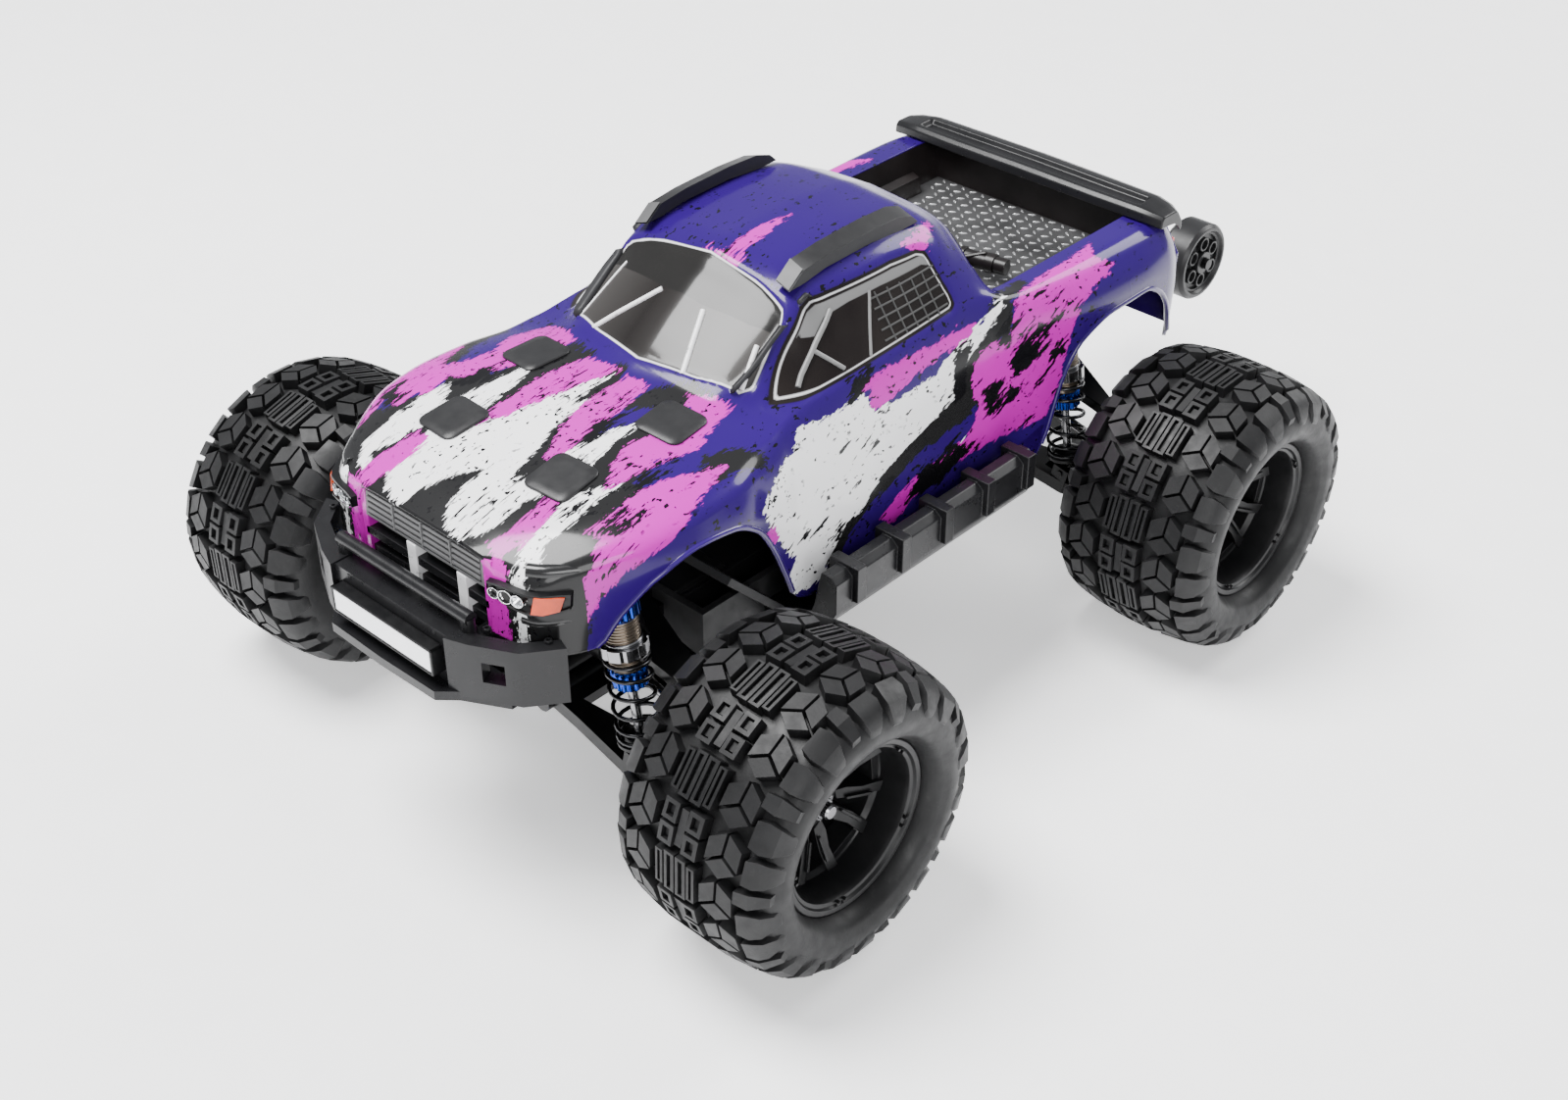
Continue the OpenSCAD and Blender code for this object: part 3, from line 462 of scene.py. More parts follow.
def tread_period(shape, start):
    """One repeat of the tread: hollow blocks in pairs, linked hollow squares and the lugs beside them."""
    for side in (-1, 1):
        hollow_block(shape, start, (0, 0.15, 13.6, 3.9), 1.2, side)
        hollow_block(shape, start, (0.8, 4.2, 12.8, 7), 0.95, side)
        hollow_block(shape, start, (14.8, 1.5, 21.2, 7), 1.5, side)
        hollow_block(shape, start, (21.6, 1.5, 28, 7), 1.5, side)
        y_groove_lug(shape, start + 6.4, 13.9, 7.3, side)
        y_groove_lug(shape, start + 21, 14.3, 7.3, side)
        shoulder_lug(shape, [(side * g, start + a, start + b) for g, a, b in
                             ((20.2, -2.8, 5.8), (23.5, -3.8, 6.6), (27, -3.4, 6), (31, -2.4, 4.8),
                              (34, -1.6, 3.6))])
        shoulder_lug(shape, [(side * g, start + a, start + b) for g, a, b in
                             ((19.2, 8.4, 13.4), (23.5, 7.8, 13.8), (29.5, 8.6, 13))])
        shoulder_lug(shape, [(side * g, start + a, start + b) for g, a, b in
                             ((20.8, 15.2, 23.6), (24, 14.8, 24.4), (27, 15.2, 24), (31, 16.2, 22.8),
                              (33, 17.4, 21.6))])
    tread_block(shape, [(start + u, v) for u, v in ((15.6, -1.3), (27.2, -1.3), (27.2, 1.3), (15.6, 1.3))],
                0.6)


def tyre_shape():
    shape = Shape()
    outer = [(-22.5, 24.3), (-26.3, 28), (-27.3, 32), (-27.4, 35), (-26.3, 38), (-24.2, 40)]
    crown = [(g, along_profile(TREAD_BASE, g)[1]) for g in (-20.5, -15, -8, 0, 8, 15, 20.5)]
    side = [(24.2, 40), (26.3, 38), (27.4, 35), (27.3, 32), (26.4, 30.2), (26.2, 29.6), (25.2, 28.6),
            (23.4, 27.4), (21.6, 26.7), (19.9, 26.5), (17.3, 24.2), (14.5, 24.2)]
    inside = [(24, 32), (24, 35), (20, 38.5), (0, 39.6), (-20, 38.5), (-24, 34), (-22, 28), (-18.5, 24.3)]
    shape.turn(outer + crown + side + inside, 96, place=ONTO_X, loop=True)
    period = 2 * math.pi * TYRE_R / TREAD_REPEATS
    for k in range(TREAD_REPEATS):
        tread_period(shape, k * period)
    return shape


def rim_shape():
    shape = Shape()
    shape.turn([(-22.4, 24.1), (17.6, 24.1), (20, 26.5), (21.3, 26.6), (21.7, 26.1), (21.5, 24.7),
                (20.6, 24.2),
                (20.3, 23.2), (18.8, 22.6), (11, 22), (9.5, 20.8), (3, 20.6), (-21, 22.3), (-22.4, 22.8)],
               96, place=ONTO_X, loop=True)
    for k in range(SPOKES):
        spin = Matrix.Rotation(2 * math.pi * k / SPOKES, 4, "X")
        for side in (-1, 1):
            # Each spoke is split: two blades that part from the hub and reach the barrel
            blade = [(side * 0.9, 7), (side * 4.4, 7.4), (side * 7.4, 14), (side * 9.2, 21.3),
                     (side * 5.6, 22.3),
                     (side * 4, 15.2), (side * 1.6, 10.6)]
            low = [(1.5 + 0.1 * max(0, v - 7), u, v) for u, v in blade]
            high = [(7.2 + 0.34 * max(0, v - 7), u, v) for u, v in shrunk(blade, 0.3)]
            shape.rings([low, high], place=spin)
            pocket = [(side * 4.3, 9.6), (side * 5.3, 9.6), (side * 7.9, 17.2), (side * 6.9, 17.6)]
            shape.rings([[(7.6 + 0.34 * max(0, v - 7), u, v) for u, v in pocket],
                         [(8.3 + 0.34 * max(0, v - 7), u, v) for u, v in shrunk(pocket, 0.25)]], place=spin)
        web = [(-4.6, 18.8), (4.6, 18.8), (6, 22.3), (-6, 22.3)]
        shape.rings([[(4, u, v) for u, v in web], [(10.5, u, v) for u, v in shrunk(web, 0.3)]], place=spin)
        for turn in (-3.15, 3.15):
            bolt = Matrix.Rotation(2 * math.pi * (k + 0.5) / SPOKES + math.radians(turn), 4, "X")
            shape.rings([[(20.6, u, v + 23.5) for u, v in disc(0.6, 10)],
                         [(21.7, u, v + 23.5) for u, v in disc(0.5, 10)]], place=bolt)
    shape.turn([(-6, 4), (-6, 9), (3, 9.4), (6.4, 8.6), (7, 7.8), (7, 5.6), (6.2, 5.2), (6.2, 2.6),
                (-6, 2.6)], 40,
               place=ONTO_X, loop=True)
    for k in range(SPOKES):
        spin = Matrix.Rotation(2 * math.pi * (k + 0.5) / SPOKES, 4, "X")
        shape.rings([[(6, u, v + 6.8) for u, v in disc(0.75, 8)],
                     [(7.6, u, v + 6.8) for u, v in disc(0.6, 8)]],
                    place=spin)
    return shape


def wheel_fastening():
    """Wheel nut, stub axle, hex and drive cup."""
    shape = Shape()
    shape.prism(disc(4.5, 6), 6.2, 9.6, place=ONTO_X)
    shape.turn([(9.5, 3.2), (10.6, 2.9), (10.6, 2.5)], 24, place=ONTO_X)
    shape.turn([(-14.8, 2.4), (12.2, 2.4), (13, 1.8)], 24, place=ONTO_X)
    shape.prism(disc(6.3, 6), -11, -6.1, place=ONTO_X)
    shape.turn([(-31, 4.5), (-31, 5.4), (-30.5, 5.6), (-15, 5.6), (-15, 2.4), (-20, 2.4), (-20, 4.4)], 24,
               place=ONTO_X, loop=True)
    return shape


def make_wheels(finish):
    tyre, rim, fastening = tyre_shape(), rim_shape(), wheel_fastening()
    for corner, side, end in CORNERS:
        # Each wheel has stopped at its own angle, as on a truck that has rolled.
        roll = Matrix.Rotation(math.radians(17 * side + 29 * end), 4, "X")
        place = Matrix.Diagonal((side, 1, 1, 1)) @ Matrix.Translation((TRACK, end * AXLE_Y, AXLE_Z)) @ roll
        body = "wheel_" + corner
        piece("tyre_look_" + corner, Shape().join(tyre, place), [finish["tyre"]], body,
              ["tyre_" + corner], 0.22, 30)
        piece("rim_look_" + corner, Shape().join(rim, place), [finish["rim"]], body,
              ["rim_" + corner], 0.2, 30)
        piece("wheel_nut_" + corner, Shape().join(fastening, place), [finish["steel"]], body,
              (), 0.2, 30)


# ---------- suspension and shocks ----------

SHOCK_RUN = math.dist(SHOCK_TOP, SHOCK_LOW)
SHOCK_TILT = math.atan2(SHOCK_LOW[0] - SHOCK_TOP[0], SHOCK_TOP[1] - SHOCK_LOW[1])
COIL_TOP = -22.8
COIL_LOW = -SHOCK_RUN + 6.3
COIL_R = 6.2
WIRE_R = 0.65
# The bore that the rod slides in.
ROD_BORE = 1.8


def corner_place(side, end):
    return Matrix.Diagonal((side, 1, 1, 1)) @ Matrix.Translation((0, end * AXLE_Y, 0))


def shock_place(side, end):
    return (corner_place(side, end) @ Matrix.Translation((SHOCK_TOP[0], SHOCK_DY[end], SHOCK_TOP[1]))
            @ Matrix.Rotation(-SHOCK_TILT, 4, "Y"))


def bored_prism(shape, outline, low, high, bore, mat):
    """A straight prism with a round bore along z."""
    angles = [math.atan2(y, x) for x, y in outline]
    hole = [(bore * math.cos(a), bore * math.sin(a)) for a in angles]
    shape.rings([[(x, y, low) for x, y in outline], [(x, y, high) for x, y in outline],
                 [(x, y, high) for x, y in hole], [(x, y, low) for x, y in hole]], mat, loop=True)


def bored_turn(shape, profile, bore, mat):
    """A turned part with a round bore along z."""
    shape.turn(profile + [(profile[-1][0], bore), (profile[0][0], bore)], 40, mat, loop=True)


def notched_ring(steps, radius, depth, notch):
    """A ring of points, nearer the middle by the depth where notch(i) is true."""
    ring = []
    for i in range(steps):
        reach = radius - depth * notch(i)
        angle = 2 * math.pi * i / steps
        ring.append((reach * math.cos(angle), reach * math.sin(angle)))
    return ring


def ribbed(shape, low, high, radius, ribs, depth, mat=0):
    """A bored cap with ribs round its edge, for a finger grip."""
    outline = notched_ring(4 * ribs, radius, depth, lambda i: i % 4 > 1)
    core = radius - depth - 0.1
    bored_prism(shape, outline, low, high, ROD_BORE, mat)
    bored_turn(shape, [(high - 0.1, core), (high + 0.7, core - 0.8)], ROD_BORE, mat)
    bored_turn(shape, [(low - 0.7, core - 0.8), (low + 0.1, core)], ROD_BORE, mat)


def shock_body_shape():
    """Materials: 0 black eye, 1 blue caps, 2 threaded body, 3 spring collar."""
    shape = Shape()
    shape.turn([(-2.3, 1.7), (-2.3, 3.2), (-1.9, 3.6), (1.9, 3.6), (2.3, 3.2), (2.3, 1.7)], 28, 0, ONTO_Y,
               loop=True)
    shape.turn([(-4, 4.2), (-2.6, 3)], 20, 0)
    ribbed(shape, -10.4, -3.9, 6.2, 18, 0.5, 1)
    thread = []
    turns = 15
    pitch = 0.92
    for k in range(turns):
        top = -11.2 - k * pitch
        thread += [(top, 4.75), (top - pitch * 0.3, 5.2), (top - pitch * 0.6, 5.2)]
    bored_turn(shape, [(-27.3, 4.7)] + thread[::-1], ROD_BORE, 2)
    collar_bore = 4.6
    collar = notched_ring(48, 6.8, 0.5, lambda i: i % 6 == 0)
    bored_prism(shape, collar, -22.6, -19, collar_bore, 3)
    bored_turn(shape, [(-18.95, 5.6), (-18.2, 5.6), (-17.8, 5.3)], collar_bore, 3)
    ribbed(shape, -33, -27.4, 5.1, 16, 0.45, 1)
    return shape


def coil_shape():
    """Wide-pitch spring with its end turns closed down."""
    turns = 6.2
    path = []
    steps = int(turns * 20)
    for i in range(steps + 1):
        t = i / steps
        rise = t - 0.065 * math.sin(2 * math.pi * t)
        rise = min(max((rise - 0.04) / 0.92, 0), 1)
        angle = 2 * math.pi * turns * t
        path.append((COIL_R * math.cos(angle), COIL_R * math.sin(angle),
                     COIL_TOP - WIRE_R - (COIL_TOP - COIL_LOW - 2 * WIRE_R) * rise))
    return Shape().tube(path, WIRE_R, 8)


def shock_rod_shape():
    """Materials: 0 steel rod, 1 black cup and eye."""
    shape = Shape()
    shape.turn([(-SHOCK_RUN + 5, 1.45), (-31, 1.45)], 20, 0)
    cup = -SHOCK_RUN + 4.5
    shape.turn([(cup - 1.5, 2.2), (cup - 0.1, 2.3), (cup, 6.4), (cup + 0.4, 6.8), (cup + 1.4, 6.8),
                (cup + 1.5, 4.7),
                (cup + 2.6, 4.3), (cup + 3.2, 2.2), (cup + 3.2, 1.5), (cup - 1.5, 1.5)], 32, 1, loop=True)
    low = Matrix.Translation((0, 0, -SHOCK_RUN)) @ ONTO_Y
    shape.turn([(-1.9, 2.9), (-1.9, 3.8), (-1.5, 4.1), (1.5, 4.1), (1.9, 3.8), (1.9, 2.9)], 24, 1, low,
               loop=True)
    return shape


def make_shocks(finish):
    body_shape, rod_shape, coil = shock_body_shape(), shock_rod_shape(), coil_shape()
    # The points a little beyond the coil's ends, where it hardly stretches, are worked out but not used.
    margin = 0.095 * (COIL_TOP - COIL_LOW)
    for corner, side, end in CORNERS:
        place = shock_place(side, end)
        piece("shock_look_" + corner, Shape().join(body_shape, place),
              [finish["black"], finish["blue"], finish["gold"], finish["steel"]], "shock_body_" + corner,
              ["shock_body_" + corner], 0.12, 25)
        piece("shock_rod_look_" + corner, Shape().join(rod_shape, place),
              [finish["steel"], finish["black"]],
              "shock_rod_" + corner, ["shock_rod_" + corner], 0.15, 30)
        spring = make_object("coil_" + corner, Shape().join(coil, place), [finish["spring"]], 0, 60)
        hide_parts("spring_" + corner)
        start, end = (place @ Vector((0, 0, z)) * MM for z in (COIL_TOP + margin, COIL_LOW - margin))
        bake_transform(spring)


def screw(shape, point, direction, radius=1.4, mat=0):
    """A hex-socket screw head whose base stands at a point."""
    turn = Vector((0, 0, 1)).rotation_difference(Vector(direction)).to_matrix().to_4x4()
    place = Matrix.Translation(point) @ turn
    head = ((-0.4, 1), (radius * 0.75, 1), (radius * 0.95, 0.8), (radius * 0.95, 0.55))
    rings = [[(*p, h) for p in disc(radius * share, 16)] for h, share in head]
    rings += [[(*p, h) for p in disc(radius * 0.5, 16)] for h in (radius * 0.94, radius * 0.4)]
    shape.rings(rings, mat, place)


def make_running_gear(frame, finish):
    """Arms, uprights and links: the CAD parts with rounded edges."""
    for corner, _, end in CORNERS:
        for part, width in (("lower_arm", 0.5), ("upper_arm", 0.45)):
            rounded_copy(frame, f"{part}_{corner}", [finish["black"]], f"{part}_{corner}",
                         width)
        upright = "c_hub" if end < 0 else "hub_carrier"
        rounded_copy(frame, f"{upright}_{corner}", [finish["black"]], f"{upright}_{corner}",
                     0.4)
        if end < 0:
            rounded_copy(frame, f"knuckle_{corner}", [finish["black"]], f"knuckle_{corner}",
                         0.4)
        rounded_copy(frame, f"half_shaft_{corner}", [finish["steel"]], f"half_shaft_{corner}",
                     0.15)
    for part in ("tie_rod_l", "tie_rod_r"):
        rounded_copy(frame, part, [finish["black"]], part, 0.2)
    rounded_copy(frame, "steering_rack", [finish["black"]], "steering_rack", 0.3)


# ---------- chassis ----------


def make_chassis(frame, finish):
    bolts = Shape()
    for side in (-1, 1):
        for y in (-66, 66):
            screw(bolts, (side * 34, y, 44.6), (0, 0, 1))
    rounded_copy(frame, "chassis_tub", [finish["tub"]], "chassis", 0.8, bolts)
    for part, colour, slot, width in (
            ("gearboxes", "black", "arm_plastic", 0.4), ("front_shock_tower", "black", "arm_plastic", 0.4),
            ("rear_shock_tower", "black", "arm_plastic", 0.4),
            ("wheelie_bar", "black", "bumper_plastic", 0.5),
            ("battery", "wrap", "battery_wrap", 1.2), ("motor", "can", "motor_can", 0.4),
            ("steering_servo", "case", "electronics_case", 0.6),
            ("control_box", "case", "electronics_case", 0.8)):
        rounded_copy(frame, part, [finish[colour]], "chassis", width)
    for part, colour, slot in (("pinion", "brass", "gear_brass"), ("centre_shaft", "steel", "shaft_steel")):
        frame["nodes"][part].data.materials.clear()
        frame["nodes"][part].data.materials.append(finish[colour])


def make_bumper(frame, finish):
    bolts = Shape()
    for side in (-1, 1):
        screw(bolts, (side * 18, -149.6, 88.4), (0, 0, 1), 1.2)
        screw(bolts, (side * 30, -142, 90.4), (0, 0, 1), 1.2)
        screw(bolts, (side * 45.5, -134.5, 90.4), (0, 0, 1), 1.1)
    rounded_copy(frame, "front_bumper", [finish["satin"]], "chassis", 0.45, bolts)
    low, high = (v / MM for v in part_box("light_bar"))
    bar = Shape()
    bar.box((low.x + 0.7, low.y + 0.6, low.z + 0.7), (high.x - 0.7, high.y, high.z - 0.7), 0)
    for z0, z1 in ((low.z, low.z + 0.7), (high.z - 0.7, high.z)):
        bar.box((low.x, low.y + 0.3, z0), (high.x, high.y, z1), 1)
    for side in (-1, 1):
        middle = side * (high.x - 0.5)
        bar.box((middle - 0.5, low.y + 0.3, low.z), (middle + 0.5, high.y, high.z), 1)
    piece("light_bar_look", bar, [finish["led"], finish["black"]], "chassis", ["light_bar"],
          0.3)


def make_side_steps(frame, finish):
    rounded_copy(frame, "side_steps", [finish["satin"]], "chassis", 0.6)


def make_wheelie_wheels(finish):
    shape = Shape()
    for side in (-1, 1):
        hub = Matrix.Translation((side * 23, 201, 66))
        place = hub @ ONTO_X
        shape.turn([(-6, 12.2), (-6, 13.4), (-4.6, 14.5), (4.6, 14.5), (6, 13.4), (6, 12.2), (4.6, 11.4),
                    (4.6, 10.6), (-4.6, 10.6), (-4.6, 11.4)], 56, 0, place, loop=True)
        shape.turn([(-6, 2.1), (-6, 4.2), (6, 4.2), (6, 2.1)], 24, 0, place, loop=True)
        shape.turn([(-3.4, 3.8), (-3.4, 11), (3.4, 11), (3.4, 3.8)], 48, 0, place, loop=True)
        for k in range(6):
            spin = Matrix.Rotation(math.radians(60 * k), 4, "X")
            petal = hub @ spin @ Matrix.Translation((0, 0, 7.2)) @ ONTO_X
            shape.turn([(-5.4, 1.9), (-5.4, 2.7), (5.4, 2.7), (5.4, 1.9)], 20, 0, petal, loop=True)
            shape.turn([(-4.2, 1.9), (4.2, 1.9)], 20, 1, petal)
    piece("wheelie_wheels_look", shape, [finish["trim"], finish["black"]], "wheelie_wheels",
          ["wheelie_wheels"], 0.25, 30)


# ---------- body shell ----------

# Half sections of the shell. Each row: y, then (x, z) of six control points from the middle of
# the top round to the widest line of the side. Behind the cab the first four lie on the bed rail.
RAIL = (42.5, 118.3)
SECTIONS = (
    (-138, ((0, 110), (14, 110), (24, 109.6), (26, 107), (27, 104), (27.5, 100))),
    (-135, ((0, 111), (14, 111), (25, 110.6), (33, 109), (39.5, 106), (41, 99))),
    (-128, ((0, 113.5), (14, 113.5), (27, 113), (37, 111.5), (45, 109), (47, 100))),
    (-118, ((0, 116), (15, 116), (29, 115.5), (41, 114.5), (51, 111.5), (53.2, 103))),
    (-104, ((0, 118), (17, 118.2), (31, 117.5), (44, 117), (56, 114), (59, 106))),
    (-90, ((0, 119.5), (19, 120), (33, 119), (45, 118.5), (57.5, 115), (60.5, 107))),
    (-76, ((0, 120.5), (21, 121.3), (34, 120), (44, 118.8), (56.5, 115.5), (60.5, 107))),
    (-63, ((0, 122), (23, 122), (35, 120.5), (44, 118.5), (53, 116), (58.5, 104))),
    (-59, ((0, 123.8), (23, 122.6), (35, 120.2), (44, 118.5), (52, 116.6), (58, 103))),
    (-54, ((0, 127.8), (25, 125.2), (36.5, 119.8), (45, 118.5), (51, 117.3), (57.5, 102))),
    (-49, ((0, 131.6), (28, 128.4), (37, 121), (44.5, 119), (49.7, 118.3), (57, 101))),
    (-44, ((0, 135.2), (29, 131.8), (37, 124), (44, 120.3), (49, 119.3), (57, 100))),
    (-34, ((0, 142.2), (30, 138.8), (36.2, 131.5), (42.5, 124.5), (48.5, 120.2), (56.5, 98))),
    (-27, ((0, 147), (30, 143.7), (36, 137.5), (42.5, 128), (48.5, 120.5), (56.5, 98))),
    (-18, ((0, 149), (30, 147), (37, 141), (43, 130), (48.5, 121), (56.5, 98))),
    (8, ((0, 150), (30, 148.7), (38, 142.5), (43.5, 131), (48.5, 121), (56.5, 98))),
    (30, ((0, 148.5), (29, 147.2), (37, 141), (43, 130), (48.5, 121), (56.5, 98))),
    (41, ((0, 144.5), (27, 143), (35, 136.5), (43, 127), (49, 120.3), (57, 98))),
    (45, ((0, 142.5), (26, 141), (34.5, 134), (42.8, 125), (49.5, 120), (57, 99))),
    (52, (RAIL, RAIL, RAIL, (42.5, 119.3), (51, 119.3), (57.3, 101))),
    (60, (RAIL, RAIL, RAIL, RAIL, (52, 118.8), (57.7, 102))),
    (74, (RAIL, RAIL, RAIL, RAIL, (52.5, 118.6), (58.7, 106))),
    (90, (RAIL, RAIL, RAIL, RAIL, (53, 118.4), (60, 108))),
    (112, (RAIL, RAIL, RAIL, RAIL, (53.5, 118.2), (60.5, 108))),
    (126, (RAIL, RAIL, RAIL, RAIL, (53, 117.5), (60, 107))),
    (133, ((42, 117), (42, 117), (42, 117), (42, 117), (51, 115.5), (58.5, 105))),
    (137, ((40, 115), (40, 115), (40, 115), (40, 115), (48, 113), (56, 104))))
# Lower edge of the side: (y, height), with an arch over each wheel.
LOWER_EDGE = ((-138, 86), (-128, 83), (-122, 84), (-116, 93), (-107, 102), (-93, 106.5), (-80, 105),
              (-70, 99),
              (-62, 88), (-56, 76), (-50, 64), (-44, 61), (0, 58.5), (62, 57), (67, 64), (73, 85),
              (81, 95.5),
              (95, 100.5), (112, 101), (121, 97), (128, 89), (133, 78), (137, 72))
CAB_END = 45
SHELL_STEP = 1.0
# How far each of the five inner corners of a section is rounded: 0.5 is round, 0 is sharp.
ROUNDING = (0.5, 0.5, 0.45, 0.35, 0.5)
PANEL = 1.3


def smooth_lookup(places, values, at):
    """Rows of values interpolated without overshoot at the given places."""
    places, values, at = np.array(places, float), np.array(values, float), np.array(at, float)
    step = np.diff(places)[:, None]
    slope = np.diff(values, axis=0) / step
    a, b = slope[:-1], slope[1:]
    safe_a, safe_b = np.where(a == 0, 1, a), np.where(b == 0, 1, b)
    w1, w2 = 2 * step[1:] + step[:-1], step[1:] + 2 * step[:-1]
    middle = np.where(a * b > 0, (w1 + w2) / np.where(a * b > 0, w1 / safe_a + w2 / safe_b, 1), 0)
    tangent = np.concatenate([slope[:1], middle, slope[-1:]])
    k = np.clip(np.searchsorted(places, at, side="right") - 1, 0, len(places) - 2)
    h = step[k]
    t = ((at - places[k]) / (places[k + 1] - places[k]))[:, None]
    return ((2 * t**3 - 3 * t**2 + 1) * values[k] + (t**3 - 2 * t**2 + t) * h * tangent[k]
            + (3 * t**2 - 2 * t**3) * values[k + 1] + (t**3 - t**2) * h * tangent[k + 1])


def section_weights():
    """Rows of weights that turn seven control points into one rounded half section."""
    unit = np.eye(7)
    rows = [unit[0]]
    marks = []
    last = unit[0]
    for i, r in zip(range(1, 6), ROUNDING):
        before = unit[i] + (unit[i - 1] - unit[i]) * r
        after = unit[i] + (unit[i + 1] - unit[i]) * r
        count = 6 if i == 1 else 4
        rows += [last + (before - last) * t / count for t in range(1, count)]
        marks.append(len(rows))
        rows += [(1 - t)**2 * before + 2 * t * (1 - t) * unit[i] + t**2 * after
                 for t in np.linspace(0, 1, 9)]
        last = after
    rows += [last + (unit[6] - last) * t / 16 for t in range(1, 17)]
    return np.array(rows), marks


WEIGHTS, CORNER_COLUMNS = section_weights()
RAIL_COLUMN = CORNER_COLUMNS[2]
WAIST_COLUMN = CORNER_COLUMNS[3] + 4


def shell_half(ys):
    """Points (row, column, xyz) of the left half of the shell."""
    table = [[c for point in row[1] for c in point] for row in SECTIONS]
    controls = smooth_lookup([row[0] for row in SECTIONS], table, ys).reshape(len(ys), 6, 2)
    low = smooth_lookup([e[0] for e in LOWER_EDGE], [[e[1]] for e in LOWER_EDGE], ys)[:, 0]
    widest = np.maximum(controls[:, 5, 1], low + 0.5)
    tuck = controls[:, 5, 0] - 0.04 * (widest - low)
    controls[:, 5, 1] = widest
    controls = np.concatenate([controls, np.stack([tuck, low], 1)[:, None]], 1)
    flat = np.einsum("ck,rkd->rcd", WEIGHTS, controls)
    return np.concatenate([flat[:, :, :1], np.broadcast_to(ys[:, None, None], flat[:, :, :1].shape),
                           flat[:, :, 1:]], 2)


def shell_grid():
    """The whole shell's points, their livery coordinates and their quads."""
    ys = np.unique(np.concatenate([np.arange(-138, 137, SHELL_STEP), [CAB_END, CAB_END + 0.05, 137]]))
    half = shell_half(ys)
    columns = half.shape[1]
    # Past the waist, across goes on as the distance down the side.
    run = np.cumsum(np.linalg.norm(np.diff(half, axis=1), axis=2), 1)
    down = run[:, WAIST_COLUMN:] - run[:, WAIST_COLUMN - 1][:, None]
    across = half[:, :, 0].copy()
    down = np.concatenate([np.zeros((len(ys), 1)), down], 1)
    across[:, WAIST_COLUMN:] = across[:, WAIST_COLUMN][:, None] + down
    right = half[:, :0:-1] * np.array([-1, 1, 1])
    grid = np.concatenate([right, half], 1)
    around = np.concatenate([-across[:, :0:-1], across], 1)
    total = grid.shape[1]
    quads = []
    for i in range(len(ys) - 1):
        for j in range(total - 1):
            column = min(abs(j - (columns - 1)), abs(j + 1 - (columns - 1)))
            if ys[i] >= CAB_END and column < RAIL_COLUMN:
                continue
            a = i * total + j
            quads.append((a, a + total, a + total + 1, a + 1))
    return grid, around, quads


def polygon_distance(points, outline):
    """Distance of points from an outline, positive inside it."""
    outline = np.array(outline, float)
    nearest = np.full(len(points), 1e9)
    inside = np.zeros(len(points), bool)
    for a, b in zip(outline, np.roll(outline, -1, 0)):
        edge = b - a
        t = np.clip(((points - a) @ edge) / max(edge @ edge, 1e-9), 0, 1)
        nearest = np.minimum(nearest, np.linalg.norm(points - a - t[:, None] * edge, axis=1))
        crosses = (a[1] > points[:, 1]) != (b[1] > points[:, 1])
        rise = b[1] - a[1] if b[1] != a[1] else 1e-9
        inside ^= crosses & (points[:, 0] < a[0] + (points[:, 1] - a[1]) * edge[0] / rise)
    return np.where(inside, nearest, -nearest)


def union_distance(points, outlines):
    far = np.full(len(points), FAR)
    for outline in outlines:
        far = np.maximum(far, polygon_distance(points, outline))
    return far


# Glass. The windscreen is in (x, y) from above and the side windows in (y, z) from the side.
WINDSCREEN = ((-31, -29.2), (-20, -27.4), (0, -26.4), (20, -27.4), (31, -29.2), (32.6, -31.5),
              (35.5, -46.5),
              (33.5, -50.2), (20, -54.6), (0, -57.6), (-20, -54.6), (-33.5, -50.2), (-35.5, -46.5),
              (-32.6, -31.5))
SIDE_WINDOW = ((-46, 121), (-38, 129), (-25, 141), (-22, 142.6), (-15, 142.8), (10, 143), (22, 142),
               (25.5, 140.5),
               (29.5, 127), (29.5, 124.4), (27.5, 123.2), (0, 122.2), (-30, 121.2))
GLASS_DEPTH = 0.9
# The mask value, in mm, of a place well outside an outline.
FAR = -30.0


def body_masks(points, around):
    """Signed distances in mm that the body paint reads, one value for each point, by name."""
    top = points[:, :2]
    side = points[:, 1:]
    plan = np.stack([around, points[:, 1]], 1)
    both = np.stack([np.abs(around), points[:, 1]], 1)
    is_screen = (points[:, 2] > 119) & (points[:, 1] < -20)
    is_side = np.abs(points[:, 0]) > 33
    masks = {
        "screen": np.where(is_screen, polygon_distance(top, WINDSCREEN), FAR),
        "window": np.where(is_side, polygon_distance(side, SIDE_WINDOW), FAR)}
    for name, (signed, mirrored) in LIVERY.items():
        masks[name] = np.maximum(union_distance(plan, signed), union_distance(both, mirrored))
    front = np.stack([np.abs(points[:, 0]), points[:, 2]], 1)
    is_front = (points[:, 1] < -124) & (points[:, 2] < 108.5)
    for name in LIVERY:
        on_nose = union_distance(front, NOSE_LIVERY[name]) if name in NOSE_LIVERY else FAR
        masks[name] = np.where(is_front, on_nose, masks[name])
    masks["strip"] = np.where(is_screen, union_distance(top, [SUN_STRIP]), FAR)
    masks["frame"] = np.where(is_side, union_distance(side, [WINDOW_FRAME]), FAR)
    return masks


# ---------- livery ----------

